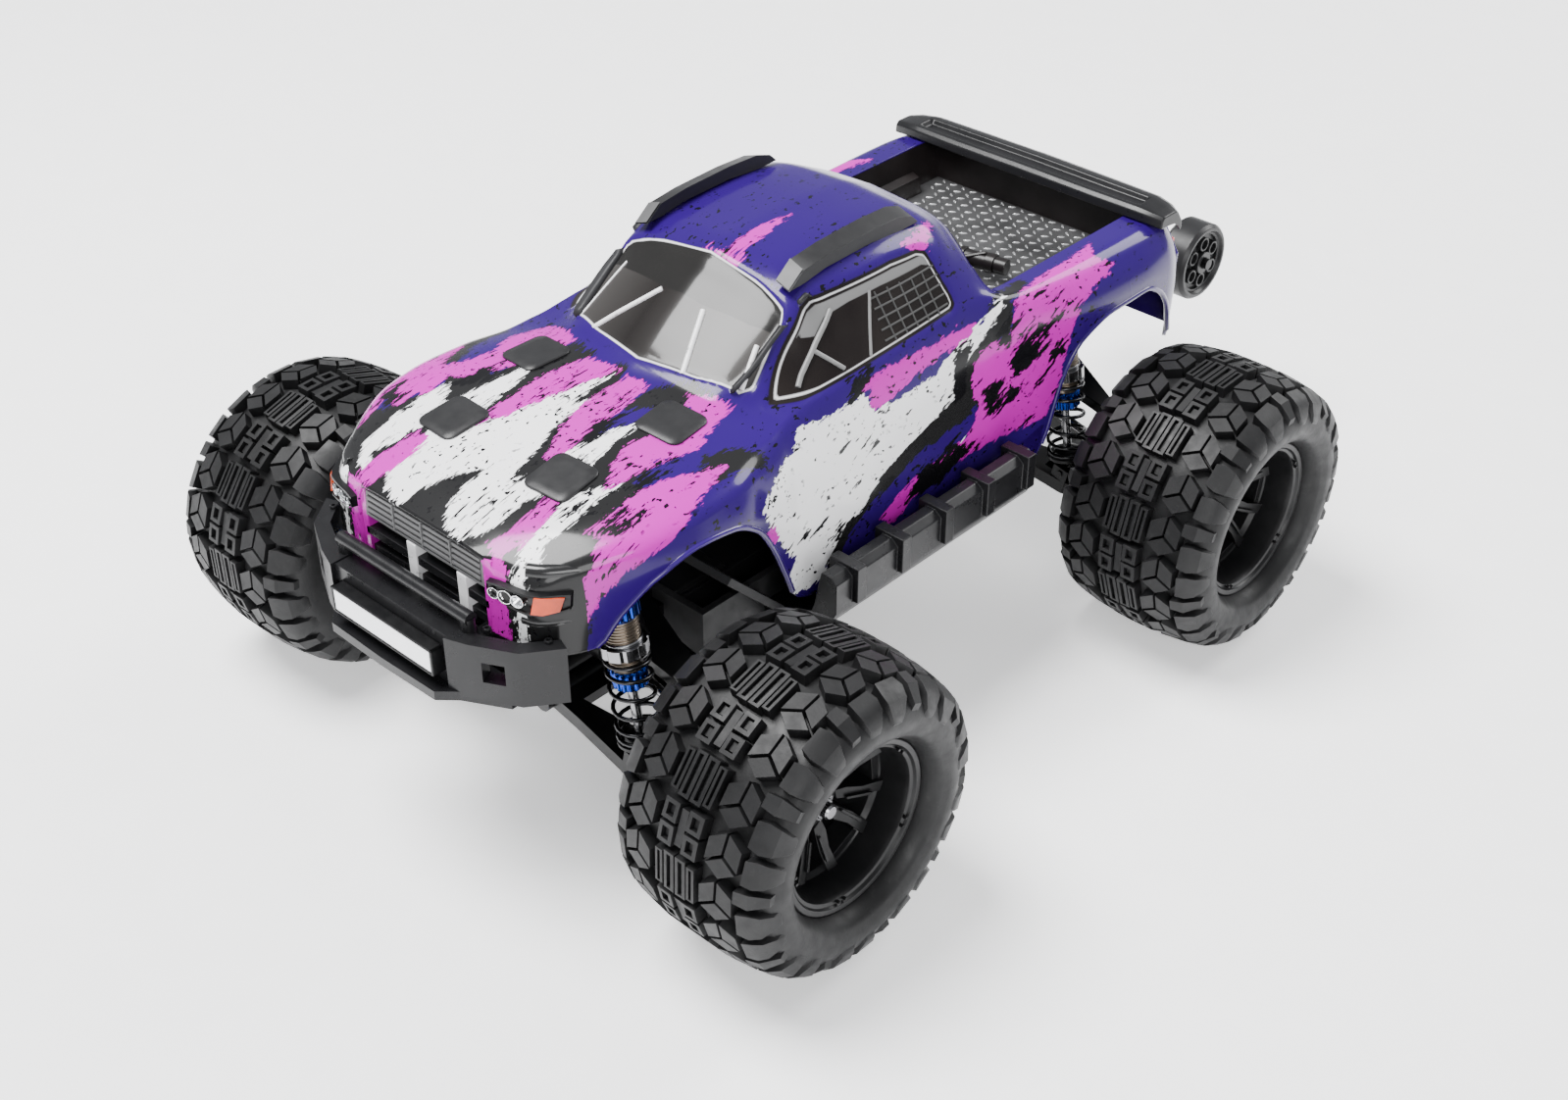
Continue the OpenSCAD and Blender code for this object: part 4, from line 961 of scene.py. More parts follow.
# Flat colour shapes of the printed livery. Each point is (across, y) in mm: across is x on the top and
# goes on down the side past the waist. The first list has shapes at their own place, the second has
# shapes that both sides share. These numbers were not chosen by hand: a separate program worked them
# out, by projecting outlines picked by eye on the reference photograph onto the shell.
LIVERY = {
    "charcoal": (
        [((-39, -133), (-47, -124), (-52, -116), (-43, -117), (-42, -113), (-39, -106), (-37, -101),
          (-35, -97), (-39, -94), (-34, -89), (-29, -87), (-25, -76), (-24, -67), (-21, -61),
          (-19, -68), (-15, -62), (-17, -76), (-16, -91), (-11, -81), (-7, -69), (-2, -62), (0,
          -69), (7, -64), (6, -82), (10, -82), (13, -88), (14, -96), (17, -92), (21, -81), (23,
          -75), (32, -73), (29, -89), (33, -84), (37, -91), (37, -97), (42, -97), (42, -107),
          (44, -107), (44, -116), (48, -118), (54, -123), (67, -126), (64, -133), (45, -138),
          (29, -138), (-31, -138)),
         ((-48, -91), (-54, -74), (-53, -80), (-54, -69), (-51, -63), (-51, -77), (-46, -87)),
         ((48, -82), (49, -73), (46, -75), (48, -66), (53, -61), (51, -73), (51, -82)),
         ((13, -74), (14, -64), (20, -58), (25, -57), (22, -63), (17, -69))],
        [((57, 29), (54, 40), (48, 50), (46, 62), (50, 50), (58, 48), (60, 39), (67, 33), (75, 37), (78,
          23), (80, 5), (84, -11), (89, -22), (94, -29), (103, -34), (106, -37), (96, -34), (88,
          -30), (82, -22), (77, -4), (72, 14), (69, 26))]),
    "white": (
        [((-34, -132), (-38, -126), (-38, -118), (-38, -109), (-38, -101), (-37, -95), (-34, -100), (-31,
          -105), (-28, -96), (-26, -86), (-24, -75), (-20, -86), (-19, -96), (-15, -104), (-14,
          -111), (-15, -117), (-15, -124), (-15, -129), (-13, -134), (-17, -136), (-21, -131),
          (-23, -124), (-23, -115), (-27, -112), (-28, -117), (-29, -123), (-32, -128), (-28,
          -134)),
         ((-2, -64), (-2, -74), (-1, -83), (2, -78), (3, -87), (4, -94), (7, -101), (10, -111), (13,
          -119), (14, -115), (15, -109), (23, -111), (22, -116), (21, -121), (21, -129), (19,
          -133), (16, -137), (12, -137), (7, -135), (3, -129), (3, -122), (3, -115), (0, -119),
          (-5, -125), (-8, -132), (-9, -137), (-14, -137), (-18, -129), (-18, -118), (-16,
          -110), (-12, -99), (-9, -83)),
         ((22, -76), (22, -86), (24, -96), (25, -100), (20, -96), (19, -101), (14, -100), (17, -92), (18,
          -84)),
         ((37, -98), (36, -106), (37, -113), (37, -121), (36, -126), (38, -129), (45, -135), (53, -136),
          (50, -137), (38, -137), (33, -132), (31, -126), (31, -119), (30, -113), (31, -108),
          (33, -103))],
        [((51, -44), (54, -30), (54, -16), (60, -14), (61, 0), (60, 14), (55, 27), (52, 38), (48, 51),
          (53, 45), (57, 36), (62, 27), (70, 21), (74, 9), (78, -7), (84, -18), (89, -23), (90,
          -29), (96, -34), (103, -40), (103, -50), (95, -54), (90, -51), (83, -57), (76, -62),
          (66, -67), (58, -56), (55, -47)),
         ((88, 37), (87, 26), (88, 17), (90, 26), (91, 36))]),
    "magenta": (
        [((-50, -118), (-55, -109), (-57, -100), (-57, -89), (-55, -81), (-55, -73), (-47, -91), (-42,
          -84), (-40, -76), (-42, -72), (-44, -67), (-39, -56), (-32, -56), (-24, -59), (-23,
          -68), (-26, -75), (-28, -80), (-31, -86), (-35, -92), (-40, -94), (-38, -101), (-41,
          -106), (-42, -112), (-48, -111), (-47, -116), (-46, -122)),
         ((-15, -106), (-16, -97), (-17, -87), (-17, -76), (-14, -63), (-2, -62), (-5, -72), (-8, -84),
          (-10, -96)),
         ((2, -63), (10, -62), (12, -70), (15, -83), (15, -91), (15, -97), (15, -104), (12, -104), (8,
          -96), (5, -90), (2, -82), (2, -74)),
         ((22, -59), (34, -53), (37, -64), (41, -74), (39, -80), (36, -86), (37, -92), (36, -98), (35,
          -103), (28, -93), (26, -85), (27, -79), (32, -73), (32, -65), (25, -62)),
         ((50, -72), (46, -83), (43, -92), (42, -102), (43, -109), (42, -117), (46, -115), (49, -121),
          (52, -125), (68, -127), (65, -125), (60, -121), (58, -114), (59, -108), (59, -99),
          (55, -88)),
         ((24, -114), (29, -113), (31, -119), (32, -126), (31, -131), (29, -134), (33, -137), (49, -137),
          (45, -138), (30, -138), (23, -134), (25, -130), (26, -123)),
         ((-26, -116), (-21, -116), (-20, -124), (-21, -131), (-22, -136), (-23, -138), (-29, -136),
          (-30, -131), (-28, -124)),
         ((-9, -34), (-6, -30), (-3, -27), (-2, -23), (0, -28), (4, -24), (3, -17), (3, -9), (5, 3), (8,
          -13), (8, -21), (8, -25), (12, -21), (10, -28), (10, -32), (10, -35), (-1, -36)),
         ((28, -88), (30, -68), (36, -86), (40, -77), (38, -90))],
        [((51, -21), (50, -5), (51, 17), (51, 31), (52, 36), (55, 30), (56, 15), (57, 3), (60, -8), (59,
          -16), (54, -13)),
         ((59, 48), (51, 53), (48, 69), (47, 92), (46, 99), (52, 93), (57, 99), (59, 92), (63, 79), (69,
          75), (79, 72), (88, 71), (98, 66), (94, 43), (94, 29), (95, 15), (98, 1), (102, -8),
          (97, -13), (92, -6), (88, 10), (86, 26), (80, 33), (71, 28), (63, 30), (60, 39)),
         ((74, -66), (72, -62), (79, -59), (80, -63)),
         ((35, 17), (32, 28), (30, 37), (37, 27), (37, 20))]),
    "streak": (
        [((-51, -110), (-51, -101), (-48, -108), (-44, -105), (-45, -112)),
         ((15, -94), (8, -68), (13, -83), (15, -75), (17, -89)),
         ((-36, -96), (-32, -77), (-32, -89), (-26, -79), (-31, -93)),
         ((39, -98), (38, -86), (40, -94), (40, -81), (42, -94)),
         ((45, -114), (45, -104), (47, -111), (48, -102), (49, -111))],
        [((66, 47), (61, 61), (66, 54), (62, 71), (70, 55), (71, 66), (73, 49)),
         ((73, 33), (74, 51), (78, 39), (83, 61), (82, 37)),
         ((89, 5), (84, 26), (91, 12), (89, 36), (97, 15), (97, -1)),
         ((61, 42), (53, 50), (62, 47)),
         ((49, -20), (49, -11), (52, -18), (54, -22)),
         ((57, 24), (57, 31), (70, 24), (71, 20))]),
    "sill": (
        [],
        [((108, -38), (105, -34), (105, -20), (103, -3), (101, 16), (101, 35), (102, 54), (100, 66),
          (112, 64), (113, 53), (112, 17), (110, -21))])}
# Printed inside the windscreen: the sun strip, (x, y) from above, and the roll cage's bars.
SUN_STRIP = ((-34, -26), (-8, -24), (11, -24), (34, -26), (35, -34), (25, -37), (8, -39), (-6, -39),
             (-25, -37), (-34, -35))
SCREEN_CAGE = (((9.5, -39.5), (16, -54.8), 0.9), ((-22, -53.5), (-7.5, -39), 0.8),
               ((-31, -50), (-27, -34.5), 0.35),
               ((33, -48.6), (30, -39), 0.8))
# Printed inside the side windows: the frame along the top, (y, z) from the side, and the cage's bars.
WINDOW_FRAME = ((-30, 134), (-24, 139.4), (-21, 140.6), (-10, 140.8), (10, 141), (24, 140), (26, 136.4),
                (22, 138), (3, 138.6), (-10, 138.4), (-20, 137.4), (-25, 133.4))
WINDOW_CAGE = (((-36, 123), (-17, 138), 0.85), ((-27, 130), (-20, 123.4), 0.7),
               ((-1.5, 138.4), (-9, 123), 0.5))
# The stripes down the nose beside the grille, (distance from the mirror plane, z) from the front.
NOSE_LIVERY = {
    "charcoal": [((20, 76), (62, 76), (62, 114), (20, 114))],
    "white": [((35, 76), (38.6, 76), (38.2, 90), (39, 98), (38, 112), (34.6, 112), (35.4, 96))],
    "magenta": [((24, 76), (32.8, 76), (33.2, 92), (32.6, 101), (33.4, 112), (24, 112))]}


def streaked(tree, place, mask, scale, amount, squash):
    """A mask (mm) whose edge is broken up by drawn-out noise, as 0 to 1."""
    rough = noise(tree, place, scale, 5, 0.65, squash)
    shifted = maths(tree, "ADD", mask, ranged(tree, rough, 0, 1, -amount, amount))
    return ranged(tree, shifted, -0.12, 0.12, 0, 1)


def mask_value(tree, name):
    return node(tree, "Attribute", attribute_name=name).outputs["Fac"]


PURPLE = (0.022, 0.003, 0.12)
DEEP_PURPLE = (0.012, 0.0, 0.07)
MAGENTA = (0.52, 0.0, 0.4)
CHARCOAL = (0.012, 0.012, 0.0125)
BLACK = (0.004, 0.004, 0.005)
WHITE = (0.92, 0.92, 0.93)


def body_paint():
    """Gloss paint: the livery's masks over purple, brushed edges, specks, scratches and the printed glass.
    """
    material, tree, shader, place = new_material("body paint")
    brush = (1, 0.1, 0.4)
    slanted = node(tree, "Mapping", {"Vector": place, "Rotation": (-0.45, 0, 0)}).outputs[0]
    tint = mix_colour(tree, ranged(tree, noise(tree, place, 18, 2), 0.3, 0.7, 0, 1), DEEP_PURPLE, PURPLE)
    tint = mix_colour(tree, 0.72, tint, PURPLE)
    layers = (("charcoal", CHARCOAL, 1300, 5, 2), ("white", WHITE, 1400, 3.6, 0.2),
              ("magenta", MAGENTA, 1300, 3.6, 0),
              ("streak", BLACK, 1300, 6, 0.6), ("sill", DEEP_PURPLE, 900, 1.4, 0))
    for name, colour, scale, amount, wider in layers:
        grown = maths(tree, "ADD", mask_value(tree, name), wider)
        tint = mix_colour(tree, streaked(tree, slanted, grown, scale, amount, brush), tint, colour)
    printed = maths(tree, "MAXIMUM", mask_value(tree, "white"), mask_value(tree, "magenta"))
    printed = ranged(tree, printed, -1, 0.5, 0, 1)
    speck = ranged(tree, noise(tree, place, 650, 2, 0.5, (1, 0.6, 1)), 0.64, 0.65, 0, 1)
    area = ranged(tree, noise(tree, place, 45, 2), 0.44, 0.5, 0, 1)
    tint = mix_colour(tree, maths(tree, "MULTIPLY", speck, area), tint, BLACK)
    scratch = noise(tree, slanted, 900, 4, 0.6, brush)
    scratch = maths(tree, "ADD", scratch, ranged(tree, noise(tree, place, 38, 1), 0.35, 0.65, -0.09, 0.035))
    scratch = ranged(tree, scratch, 0.6, 0.615, 0, 1)
    tint = mix_colour(tree, maths(tree, "MULTIPLY", scratch, printed), tint, BLACK)
    tint = glass_colour(tree, place, tint)
    tree.links.new(tint, shader.inputs["Base Color"])
    wave = noise(tree, place, 60, 2)
    tree.links.new(ranged(tree, wave, 0.3, 0.7, 0.2, 0.28), shader.inputs["Roughness"])
    bump = node(tree, "Bump", {"Height": noise(tree, place, 350, 2), "Distance": 0.004 * MM,
                               "Strength": 0.5})
    tree.links.new(bump.outputs[0], shader.inputs["Normal"])
    shader.inputs["Specular IOR Level"].default_value = 0.1
    shader.inputs["Coat Weight"].default_value = 0.4
    shader.inputs["Coat Roughness"].default_value = 0.1
    return material


def edge_share(tree, name, offset=0.0, soft=0.15):
    return ranged(tree, mask_value(tree, name), offset - soft, offset + soft, 0, 1)


def glass_colour(tree, place, paint):
    """Adds the printed windows: smoked glass, sun strip, the frame along the side windows' top and the trim
    round them.
    """
    position = node(tree, "SeparateXYZ", {0: place})
    middle = ranged(tree, maths(tree, "ABSOLUTE", maths(tree, "ADD", position.outputs[0], 0.008)), 0, 0.03,
                    0, 1)
    smoke = mix_colour(tree, middle, (0.012, 0.0105, 0.01), (0.055, 0.052, 0.05))
    screen = mix_colour(tree, edge_share(tree, "strip"), smoke, (0.013, 0.0125, 0.012))
    rim = maths(tree, "SUBTRACT", edge_share(tree, "screen"), edge_share(tree, "screen", 0.55))
    screen = mix_colour(tree, rim, screen, (0.75, 0.75, 0.76))
    cabin = mix_colour(tree, ranged(tree, noise(tree, place, 30, 2), 0.4, 0.6, 0, 1), (0.007, 0.005, 0.005),
                       (0.014, 0.011, 0.01))
    cabin = mix_colour(tree, edge_share(tree, "frame"), cabin, (0.16, 0.16, 0.16))
    rim = maths(tree, "SUBTRACT", edge_share(tree, "window", 0.9), edge_share(tree, "window", 1.3))
    cabin = mix_colour(tree, rim, cabin, (0.6, 0.6, 0.61))
    paint = mix_colour(tree, edge_share(tree, "screen"), paint, screen)
    return mix_colour(tree, edge_share(tree, "window"), paint, cabin)


def make_shell_finishes():
    return {
        "paint": body_paint(),
        "inside": plastic("shell inside", (0.02, 0.02, 0.022), 0.5),
        "purple": plastic("purple paint", PURPLE, 0.24, coat=0.5, mottle=0.2),
        "magenta": plastic("magenta paint", MAGENTA, 0.24, coat=0.5, mottle=0.1, worn=BLACK),
        "white": plastic("white paint", WHITE, 0.24, coat=0.5, mottle=0.03, worn=BLACK),
        "gloss black": plastic("gloss black paint", CHARCOAL, 0.24, coat=0.4, mottle=0.1),
        "plate": plastic("bed plate", (0.06, 0.06, 0.061), 0.32, 0.3, 0.3, 700, 0.03),
        "bed wall": plastic("bed wall", (0.01, 0.008, 0.008), 0.35, mottle=0.3),
        "cage": plastic("cage tube", (0.2, 0.2, 0.2), 0.3, mottle=0.1),
        "net": plastic("window net", (0.05, 0.05, 0.05), 0.6, mottle=0.1),
        "lozenge": plastic("lozenge", (0.6, 0.6, 0.61), 0.25, 0.7, 0.1, 700, 0.02),
        "window": plastic("dark window", (0.012, 0.01, 0.01), 0.1, coat=0.6),
    }


def make_shell(finish):
    grid, around, quads = shell_grid()
    points = grid.reshape(-1, 3)
    masks = body_masks(points, around.reshape(-1))
    mesh = bpy.data.meshes.new("body_skin")
    mesh.from_pydata((points * MM).tolist(), [], quads)
    mesh.update()
    normals = np.zeros(len(points) * 3)
    mesh.vertices.foreach_get("normal", normals)
    normals = normals.reshape(-1, 3)
    outward = np.sign(np.sum(normals * (points - (0, 0, 60)), 1).mean())
    sink = np.clip(np.maximum(masks["screen"], masks["window"]) / 1.4 + 0.5, 0, 1)
    sink = sink * sink * (3 - 2 * sink) * GLASS_DEPTH
    points = points - normals * outward * sink[:, None]
    if outward < 0:
        quads = [q[::-1] for q in quads]
    mesh = bpy.data.meshes.new("body_skin")
    mesh.from_pydata((points * MM).tolist(), [], quads)
    for name, values in masks.items():
        attribute = mesh.attributes.new(name, "FLOAT", "POINT")
        attribute.data.foreach_set("value", values.astype(np.float32))
    mesh.materials.append(finish["paint"])
    mesh.materials.append(finish["inside"])
    mesh.shade_smooth()
    loose = bmesh.new()
    loose.from_mesh(mesh)
    bmesh.ops.delete(loose, geom=[v for v in loose.verts if not v.link_faces], context="VERTS")
    bmesh.ops.remove_doubles(loose, verts=loose.verts, dist=1e-6)
    loose.to_mesh(mesh)
    loose.free()
    skin = bpy.data.objects.new("body_skin", mesh)
    bpy.context.scene.collection.objects.link(skin)
    wall = skin.modifiers.new("wall", "SOLIDIFY")
    wall.thickness = PANEL * MM
    wall.offset = -1
    wall.material_offset = 1
    wall.material_offset_rim = 0
    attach(skin, "shell")
    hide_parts("body_shell")


def top_height(x, y):
    half = shell_half(np.array([float(y)]))[0]
    keep = half[:WAIST_COLUMN]
    return float(np.interp(abs(x), keep[:, 0], keep[:, 2]))


def laid_on_top(shape, outline, low, high, mat=0, shrink=0.4):
    """A thin pad that follows the shell's top: its outline is in (x, y)."""
    reach = max(math.dist(p, q) for p in outline for q in outline) / 2
    rings = []
    for lift, by in ((low, 0), (high - 0.3, 0), (high, shrink), (high, reach * 0.35), (high, reach * 0.7),
                     (high, reach * 0.95)):
        rings.append([(x, y, top_height(x, y) + lift) for x, y in shrunk(outline, by)])
    shape.rings(rings, mat)


def slanted_square(cx, cy, half, radius, turn):
    cos, sin = math.cos(math.radians(turn)), math.sin(math.radians(turn))
    return [(cx + u * cos - v * sin, cy + u * sin + v * cos)
            for u, v in rounded_box_outline((-half, -half), (half, half), radius)]


def side_reach(y, z):
    """Distance of the cab's side from the mirror plane at (y, z)."""
    half = shell_half(np.array([float(y)]))[0]
    side = half[CORNER_COLUMNS[1]:][::-1]
    return float(np.interp(z, side[:, 2], side[:, 0]))


def front_reach(x, z):
    """How far forward the nose reaches at (x, z)."""
    for y in np.arange(-137.9, -110, 0.2):
        if side_reach(y, z) >= abs(x):
            return float(y)
    return -110.0


def bar_on_screen(shape, start, end, radius, mat=0):
    """A printed cage tube that lies in the windscreen's recess, from (x, y) to (x, y)."""
    path = []
    for t in np.linspace(0, 1, 14):
        x = start[0] + (end[0] - start[0]) * t
        y = start[1] + (end[1] - start[1]) * t
        path.append((x, y, top_height(x, y) - GLASS_DEPTH * 1.15))
    shape.tube(path, radius, 8, mat)


def bar_on_window(shape, start, end, radius, side, mat=0):
    path = []
    for t in np.linspace(0, 1, 8):
        y = start[0] + (end[0] - start[0]) * t
        z = start[1] + (end[1] - start[1]) * t
        path.append((side * (side_reach(y, z) - GLASS_DEPTH * 1.05), y, z))
    shape.tube(path, radius, 8, mat)


def make_cage(finish):
    """The roll cage and window net seen in the windows."""
    shape = Shape()
    for start, end, radius in SCREEN_CAGE:
        bar_on_screen(shape, start, end, radius)
    for side in (-1, 1):
        for start, end, radius in WINDOW_CAGE:
            bar_on_window(shape, start, end, radius, side, 1)
        for k in range(5):
            bar_on_window(shape, (5.2 * k, 137.5 - 0.4 * k), (2.4 + 5 * k, 123.6), 0.32, side, 2)
        for k in range(5):
            bar_on_window(shape, (-2, 124.6 + 2.9 * k), (27, 125 + 2.7 * k), 0.32, side, 2)
    piece("cage_bars", shape, [finish["white"], finish["cage"], finish["net"]], "shell", (),
          0, 60)


def make_hood_pads(finish):
    shape = Shape()
    for side in (-1, 1):
        for cx, cy, turn in ((27.8, -71, 6), (22.2, -106.6, 4)):
            laid_on_top(shape, slanted_square(side * cx, cy, 7.8, 2.8, side * turn), -0.6, 0.8)
    piece("hood_pads", shape, [finish["trim"]], "shell", (), 0)


def make_roof_rails(finish):
    """Roof rails, with a painted highlight on their sloping front ends."""
    rails = Shape()
    for side in (-1, 1):
        outline = [(-27, 146.2), (-21, 150.7), (-10, 152), (8, 152.6), (20, 152.2), (26, 150.4),
                   (29, 147.6),
                   (20, 147.4), (8, 148.4), (-12, 148), (-20, 146.6)]
        inner = [(side * 25.8, y, z + 0.5) for y, z in outline]
        outer = [(side * 31.2, y, z - 1.2) for y, z in outline]
        rails.rings([inner, outer])
        # The thin light grey slab on each rail's sloping front end is a painted highlight: the rail is one
        # dark moulding whose front face catches the light.
        lit_facet = [(side * 26.1, -26.9, 147.1), (side * 30.9, -26.9, 145.4), (side * 30.9, -21.1, 149.9),
                 (side * 26.1, -21.1, 151.6)]
        rails.rings([lit_facet, [(x, y - 0.12, z + 0.12) for x, y, z in lit_facet]], 1)
    piece("roof_rails_look", rails, [finish["trim"], finish["pale trim and painted highlight"]], "shell",
          ["roof_rails"],
          0.5)


def make_tail_lip(finish):
    """The moulded lip over the tailgate: each profile point is y, z and whether the trough sinks it."""
    lip = Shape()
    profile = [(120.6, 118.9, 0), (121.2, 121.6, 0), (122.8, 122.8, 0), (124.2, 122.9, 0),
               (125.4, 122.9, 1),
               (130.4, 122.9, 1), (131.6, 122.9, 0), (134.4, 122.7, 0), (137.6, 121.4, 0), (141, 118.4, 0),
               (141.8, 115.6, 0), (140, 114.6, 0), (137.5, 116.8, 0), (134, 118.2, 0), (128, 118.7, 0)]
    stations = ((-56.5, 10, -1.6, 0), (-52, 4.6, -0.6, 0), (-46.5, 1.7, 0, 0), (-45.3, 1.4, 0, 1.7),
                (-30, 0.4, 0, 1.8), (0, 0, 0.2, 1.8), (30, 0.4, 0, 1.8), (45.3, 1.4, 0, 1.7),
                (46.5, 1.7, 0, 0),
                (52, 4.6, -0.6, 0), (56.5, 10, -1.6, 0))
    rings = []
    for x, inset, drop, trough in stations:
        share = 1 - inset / 24
        rings.append([(x, 130 + (y - 130) * share - inset * 0.12, z + drop - sunk * trough)
                      for y, z, sunk in profile])
    lip.rings(rings)
    piece("tail_lip", lip, [finish["satin"]], "shell", ["spoiler"], 0.5)


def make_bed(finish):
    """Cab's back wall with its window, bed floor with raised lozenges, walls, hatches and the clamp."""
    foot = 104.6
    shape = Shape()
    half = shell_half(np.array([float(CAB_END)]))[0][:RAIL_COLUMN + 1]
    back = [(x, y, z) for x, y, z in half]
    wall_top = [(-x, y, z) for x, y, z in back[:0:-1]] + back
    wall_foot = [(x * 0.98, 47.5, foot) for x, y, z in wall_top]
    inner_top = [(x * 0.985, y - 1.2, z - 1.3) for x, y, z in wall_top]
    inner_foot = [(x * 0.98, 46.3, foot) for x, y, z in wall_top]
    shape.rings([wall_top, wall_foot, inner_foot, inner_top], 0, loop=True)
    glass = [(-25, 137), (25, 137), (31, 124), (-31, 124)]
    shape.rings([[(x, 45.2 + (142 - z) * 0.066 + offset, z) for x, z in glass] for offset in (0.4, -0.6)],
                3)
    shape.box((-39, 46, 103.4), (39, 128, 104.8), 1)
    for side in (-1, 1):
        wall = [(side * 38.4, 104), (side * 42.6, 118.1), (side * 43.6, 117.6), (side * 39.6, 104)]
        shape.prism(wall, 47, 130, "y", 2)
        box = [(side * 39, 80), (side * 34.5, 82), (side * 34.5, 112), (side * 39, 114)]
        shape.rings([[(x, y, foot) for x, y in box], [(x + side * 1.2, y, 110.5) for x, y in box]], 2)
    shape.prism([(-42, 104), (42, 104), (42.5, 117.8), (-42.5, 117.8)], 126.4, 128.4, "y", 2)
    for row in range(23):
        for column in range(17):
            x = (column - 8) * 4.3
            y = 51 + row * 3.35
            if abs(x) > 32 and 78 < y < 115:
                continue
            slant = 38 if (row + column) % 2 else -38
            place = Matrix.Translation((x, y, 104.75)) @ Matrix.Rotation(math.radians(slant), 4, "Z")
            shape.rings([[(1.6, 0, 0), (0, 0.6, 0), (-1.6, 0, 0), (0, -0.6, 0)],
                         [(0.9, 0, 0.4), (0, 0.25, 0.4), (-0.9, 0, 0.4), (0, -0.25, 0.4)]], 5, place)
    for side in (-1, 1):
        hatch = [(x, y) for x, y in rounded_box_outline((side * 37 - 5, 52), (side * 37 + 4, 63), 2)]
        shape.rings([[(x, y, 104.8) for x, y in hatch], [(x, y, 107) for x, y in shrunk(hatch, 0.4)]], 4)
    shape.rod((13, 76.5, 110.5), (28, 79.5, 110.5), 2.7, 20, 2)
    shape.rod((12, 76.3, 110.5), (13.4, 76.6, 110.5), 3.3, 20, 2)
    shape.rod((21, 78.1, 110.5), (24, 78.7, 110.5), 3.3, 20, 2)
    shape.box((8, 68, foot), (16, 74, 109.5), 2)
    shape.tube([(10, 70, 109), (14, 74, 111.4), (20, 78, 113.4), (25, 82, 110)], 0.9, 8, 2)
    piece("bed", shape, [finish["purple"], finish["plate"], finish["bed wall"], finish["window"],
                         finish["trim"],
                         finish["lozenge"]],
          "shell", (), 0.15, 35)


def make_tail_panel(finish):
    """The panel under the tailgate, with its lamps and ribs."""
    tail = Shape()
    outline = [(-54.5, 78), (54.5, 78), (56, 104), (49.5, 113.6), (42, 115.8), (-42, 115.8), (-49.5, 113.6),
               (-56, 104)]
    tail.prism(outline, 135.2, 136.8, "y", 0)
    tail.prism([(-38, 84), (38, 84), (40, 110), (-40, 110)], 136.6, 137.4, "y", 1)
    for side in (-1, 1):
        lamp = [(side * 43, 92), (side * 52, 93), (side * 53, 108), (side * 44, 110)]
        tail.prism(lamp, 136.6, 138.2, "y", 2)
        tail.prism([(side * 43.6, 86), (side * 51.6, 86.6), (side * 51.9, 91.4), (side * 43.7, 91)], 136.6,
                   138,
                   "y", 3)
    for i in range(5):
        tail.box((-30, 137.2, 88 + i * 4.4), (30, 137.9, 90.2 + i * 4.4), 4)
    piece("tail_panel", tail, [finish["purple"], finish["black"], finish["red"], finish["amber"],
                               finish["trim"]],
          "shell", (), 0.35, 35)


def make_nose(finish):
    """Grille, the dark opening under it, its painted strips and the brows round the lamps."""
    grille_low, lean = 99.4, 0.06

    def on_grille(outline, y):
        return [(x, y + (z - grille_low) * lean, z) for x, z in outline]

    shape = Shape()
    shape.prism([(-26, 86), (26, 86), (26, 109), (-26, 109)], -133, -132, "y", 1)
    surround = [(-25, grille_low), (25, grille_low), (24.6, 109.6), (-24.6, 109.6)]
    outer = on_grille(surround, -137.6)
    hole = [(-23.8, 100.4), (23.8, 100.4), (23.4, 108.6), (-23.4, 108.6)]
    inner = on_grille(hole, -137.7)
    deep = [(x, -135.2, z) for x, z in hole]
    back = [(x, -135.2, z) for x, z in surround]
    shape.rings([outer, inner, deep, back], 0, loop=True)
    for i in range(4):
        z = 101.2 + i * 1.9
        shape.box((-23.8, -137.9 + i * 0.12, z), (23.8, -136.4, z + 1.15), 0)
    for x in (-12, 0, 12):
        shape.box((x - 0.3, -138.1, 100.4), (x + 0.3, -136.6, 108.6), 0)
    shape.box((-26, -137.4, 92.6), (26, -134, 95.4), 2)
    shape.box((-26, -136.6, 86.4), (26, -133, 89.2), 2)
    for x in (-5.5, 15.5):
        shape.box((x - 1.9, -137.8, 87), (x + 1.9, -133.6, 99.2), 3)
    for side in (-1, 1):
        post = [(side * 24.6, 85.8), (side * 28, 85.8), (side * 28, 109), (side * 24.6, 109)]
        shape.prism(post, -137.4, -132.6, "y", 4)
        for z, thick in ((108, 2.2), (94.4, 2)):
            path = [(side * (x - thick * (x - 35) / 17), front_reach(x, z) + thick * 0.75, z)
                    for x in np.arange(37, 50.6, 1.5)]
            shape.tube(path, thick, 16, 5)
    piece("nose", shape, [finish["pale trim and painted highlight"], finish["black"], finish["satin"], finish["white"],
                          finish["magenta"], finish["gloss black"]], "shell", (), 0.2, 35)


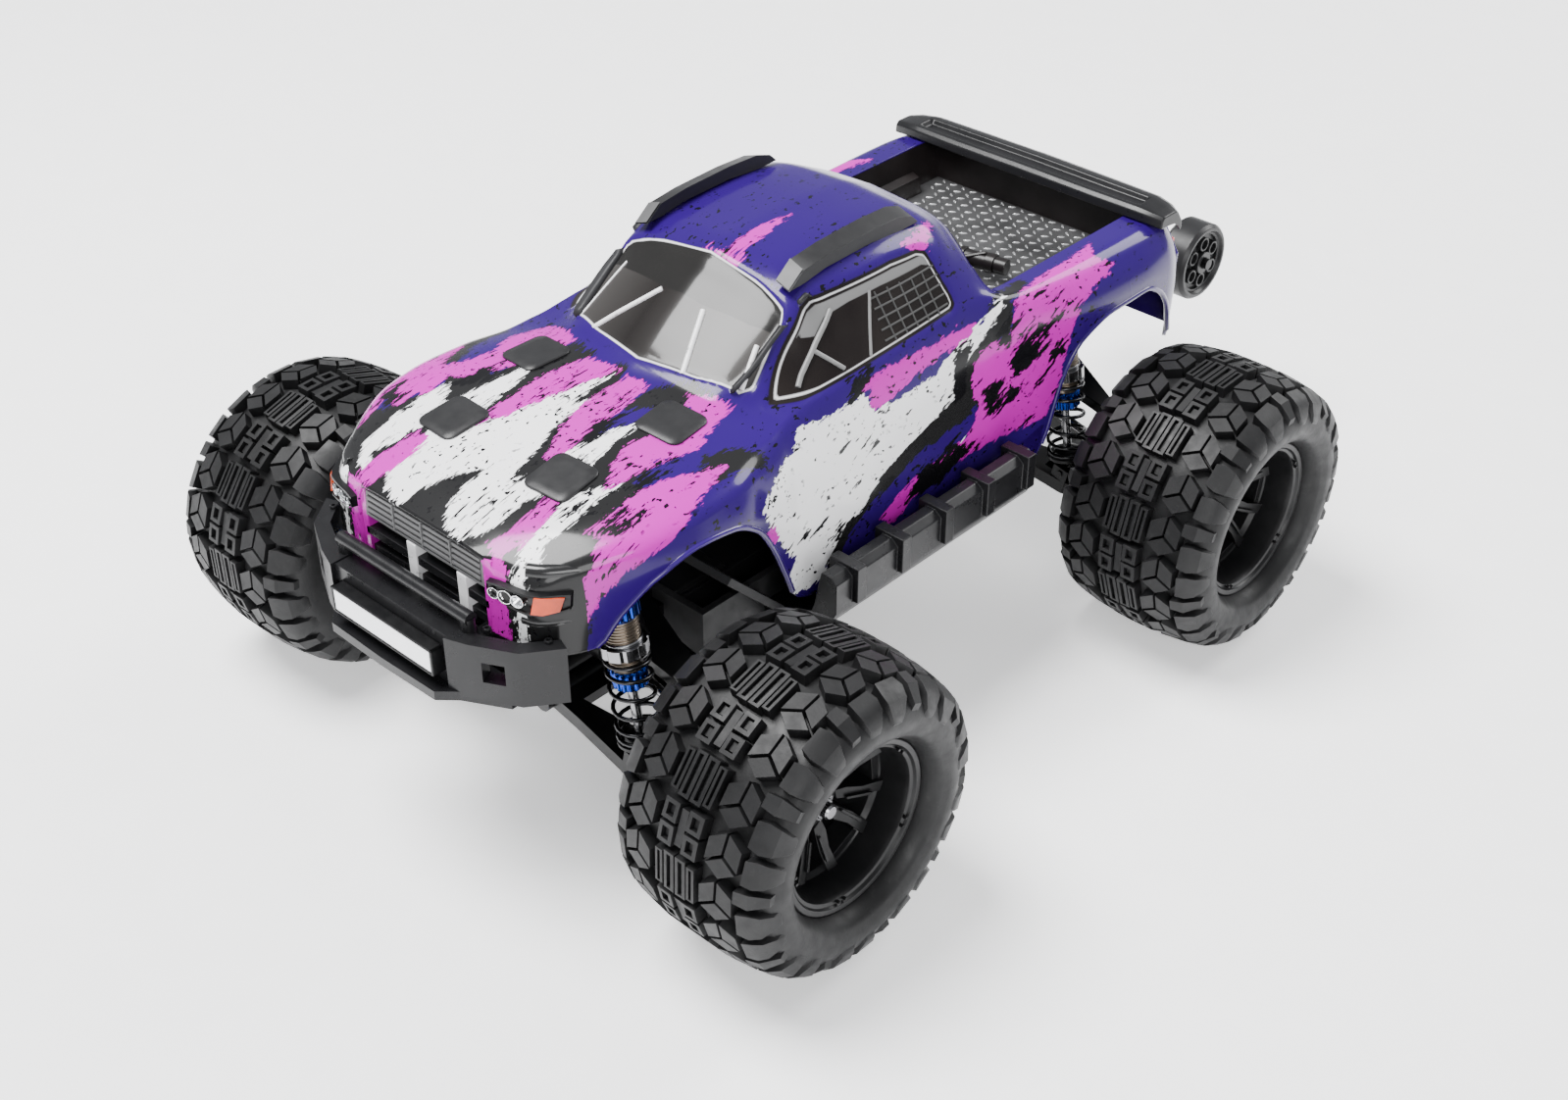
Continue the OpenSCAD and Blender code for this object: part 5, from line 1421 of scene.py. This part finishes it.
def make_headlights(finish):
    """Each lamp's housing, its three reflectors and its amber lens, set on the nose's surface."""
    lamps = Shape()
    for side in (-1, 1):
        path = (27.8, 31, 34, 37, 40, 43, 45.6, 47.4)
        top = (104.4, 104.7, 104.7, 104.6, 104.4, 104.2, 104, 103.8)
        low = (101, 99.8, 99, 98.5, 98.2, 98.2, 98.5, 99.2)
        rings = []
        for out, inset in ((-1.5, 0), (1.9, 0), (1.9, 0.6), (1.3, 0.8)):
            edge = [(x, z - inset) for x, z in zip(path, top)]
            edge += [(x, z + inset) for x, z in zip(path, low)][::-1]
            rings.append([(side * (x + out * x / 90), front_reach(x, z) - out, z) for x, z in edge])
        lamps.rings(rings, 1)
        for x, r in ((30.6, 1.5), (34.2, 1.9), (38, 1.7)):
            turn = (Matrix.Translation((side * x, front_reach(x, 101.7) - 1.7, 101.7))
                    @ Matrix.Rotation(side * 0.3, 4, "Z") @ ONTO_Y)
            lamps.turn([(0.9, r * 0.3), (0.9, r * 0.6), (0.2, r), (-0.6, r * 1.02), (-0.6, r * 1.14),
                        (1.4, r * 1.14),
                        (1.4, 0.2)], 24, 0, turn)
        lens = ((41, 98.9), (43.4, 98.6), (46, 99.2), (46.6, 103.2), (44, 103.6), (41.6, 103.9))
        amber = [(side * (x + 0.5), front_reach(x, z) - 1.35, z) for x, z in lens]
        lamps.rings([amber, [(x + side * 0.5, y - 0.8, z) for x, y, z in amber]], 2)
    piece("headlights_look", lamps, [finish["chrome"], finish["black"], finish["amber"]], "shell",
          ["headlights"], 0.1, 30)


def make_arch_lips(finish):
    """The rolled edge along the shell's lower side, over each wheel."""
    shape = Shape()
    for span in (np.arange(-122, -50, 2.0), np.arange(66, 136, 2.0)):
        edge = shell_half(span)[:, -1]
        for side in (-1, 1):
            shape.tube([(side * (x - 0.3), y, z + 0.4) for x, y, z in edge], 0.95, 8)
    piece("arch_lips", shape, [finish["purple"]], "shell", (), 0, 60)


def main():
    make_camera()
    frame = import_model()
    finish = {**make_finishes(), **make_shell_finishes()}
    make_studio()
    make_wheels(finish)
    make_shocks(finish)
    make_running_gear(frame, finish)
    make_chassis(frame, finish)
    make_bumper(frame, finish)
    make_side_steps(frame, finish)
    make_wheelie_wheels(finish)
    make_shell(finish)
    make_hood_pads(finish)
    make_cage(finish)
    make_roof_rails(finish)
    make_tail_lip(finish)
    make_bed(finish)
    make_tail_panel(finish)
    make_nose(finish)
    make_headlights(finish)
    make_arch_lips(finish)


main()
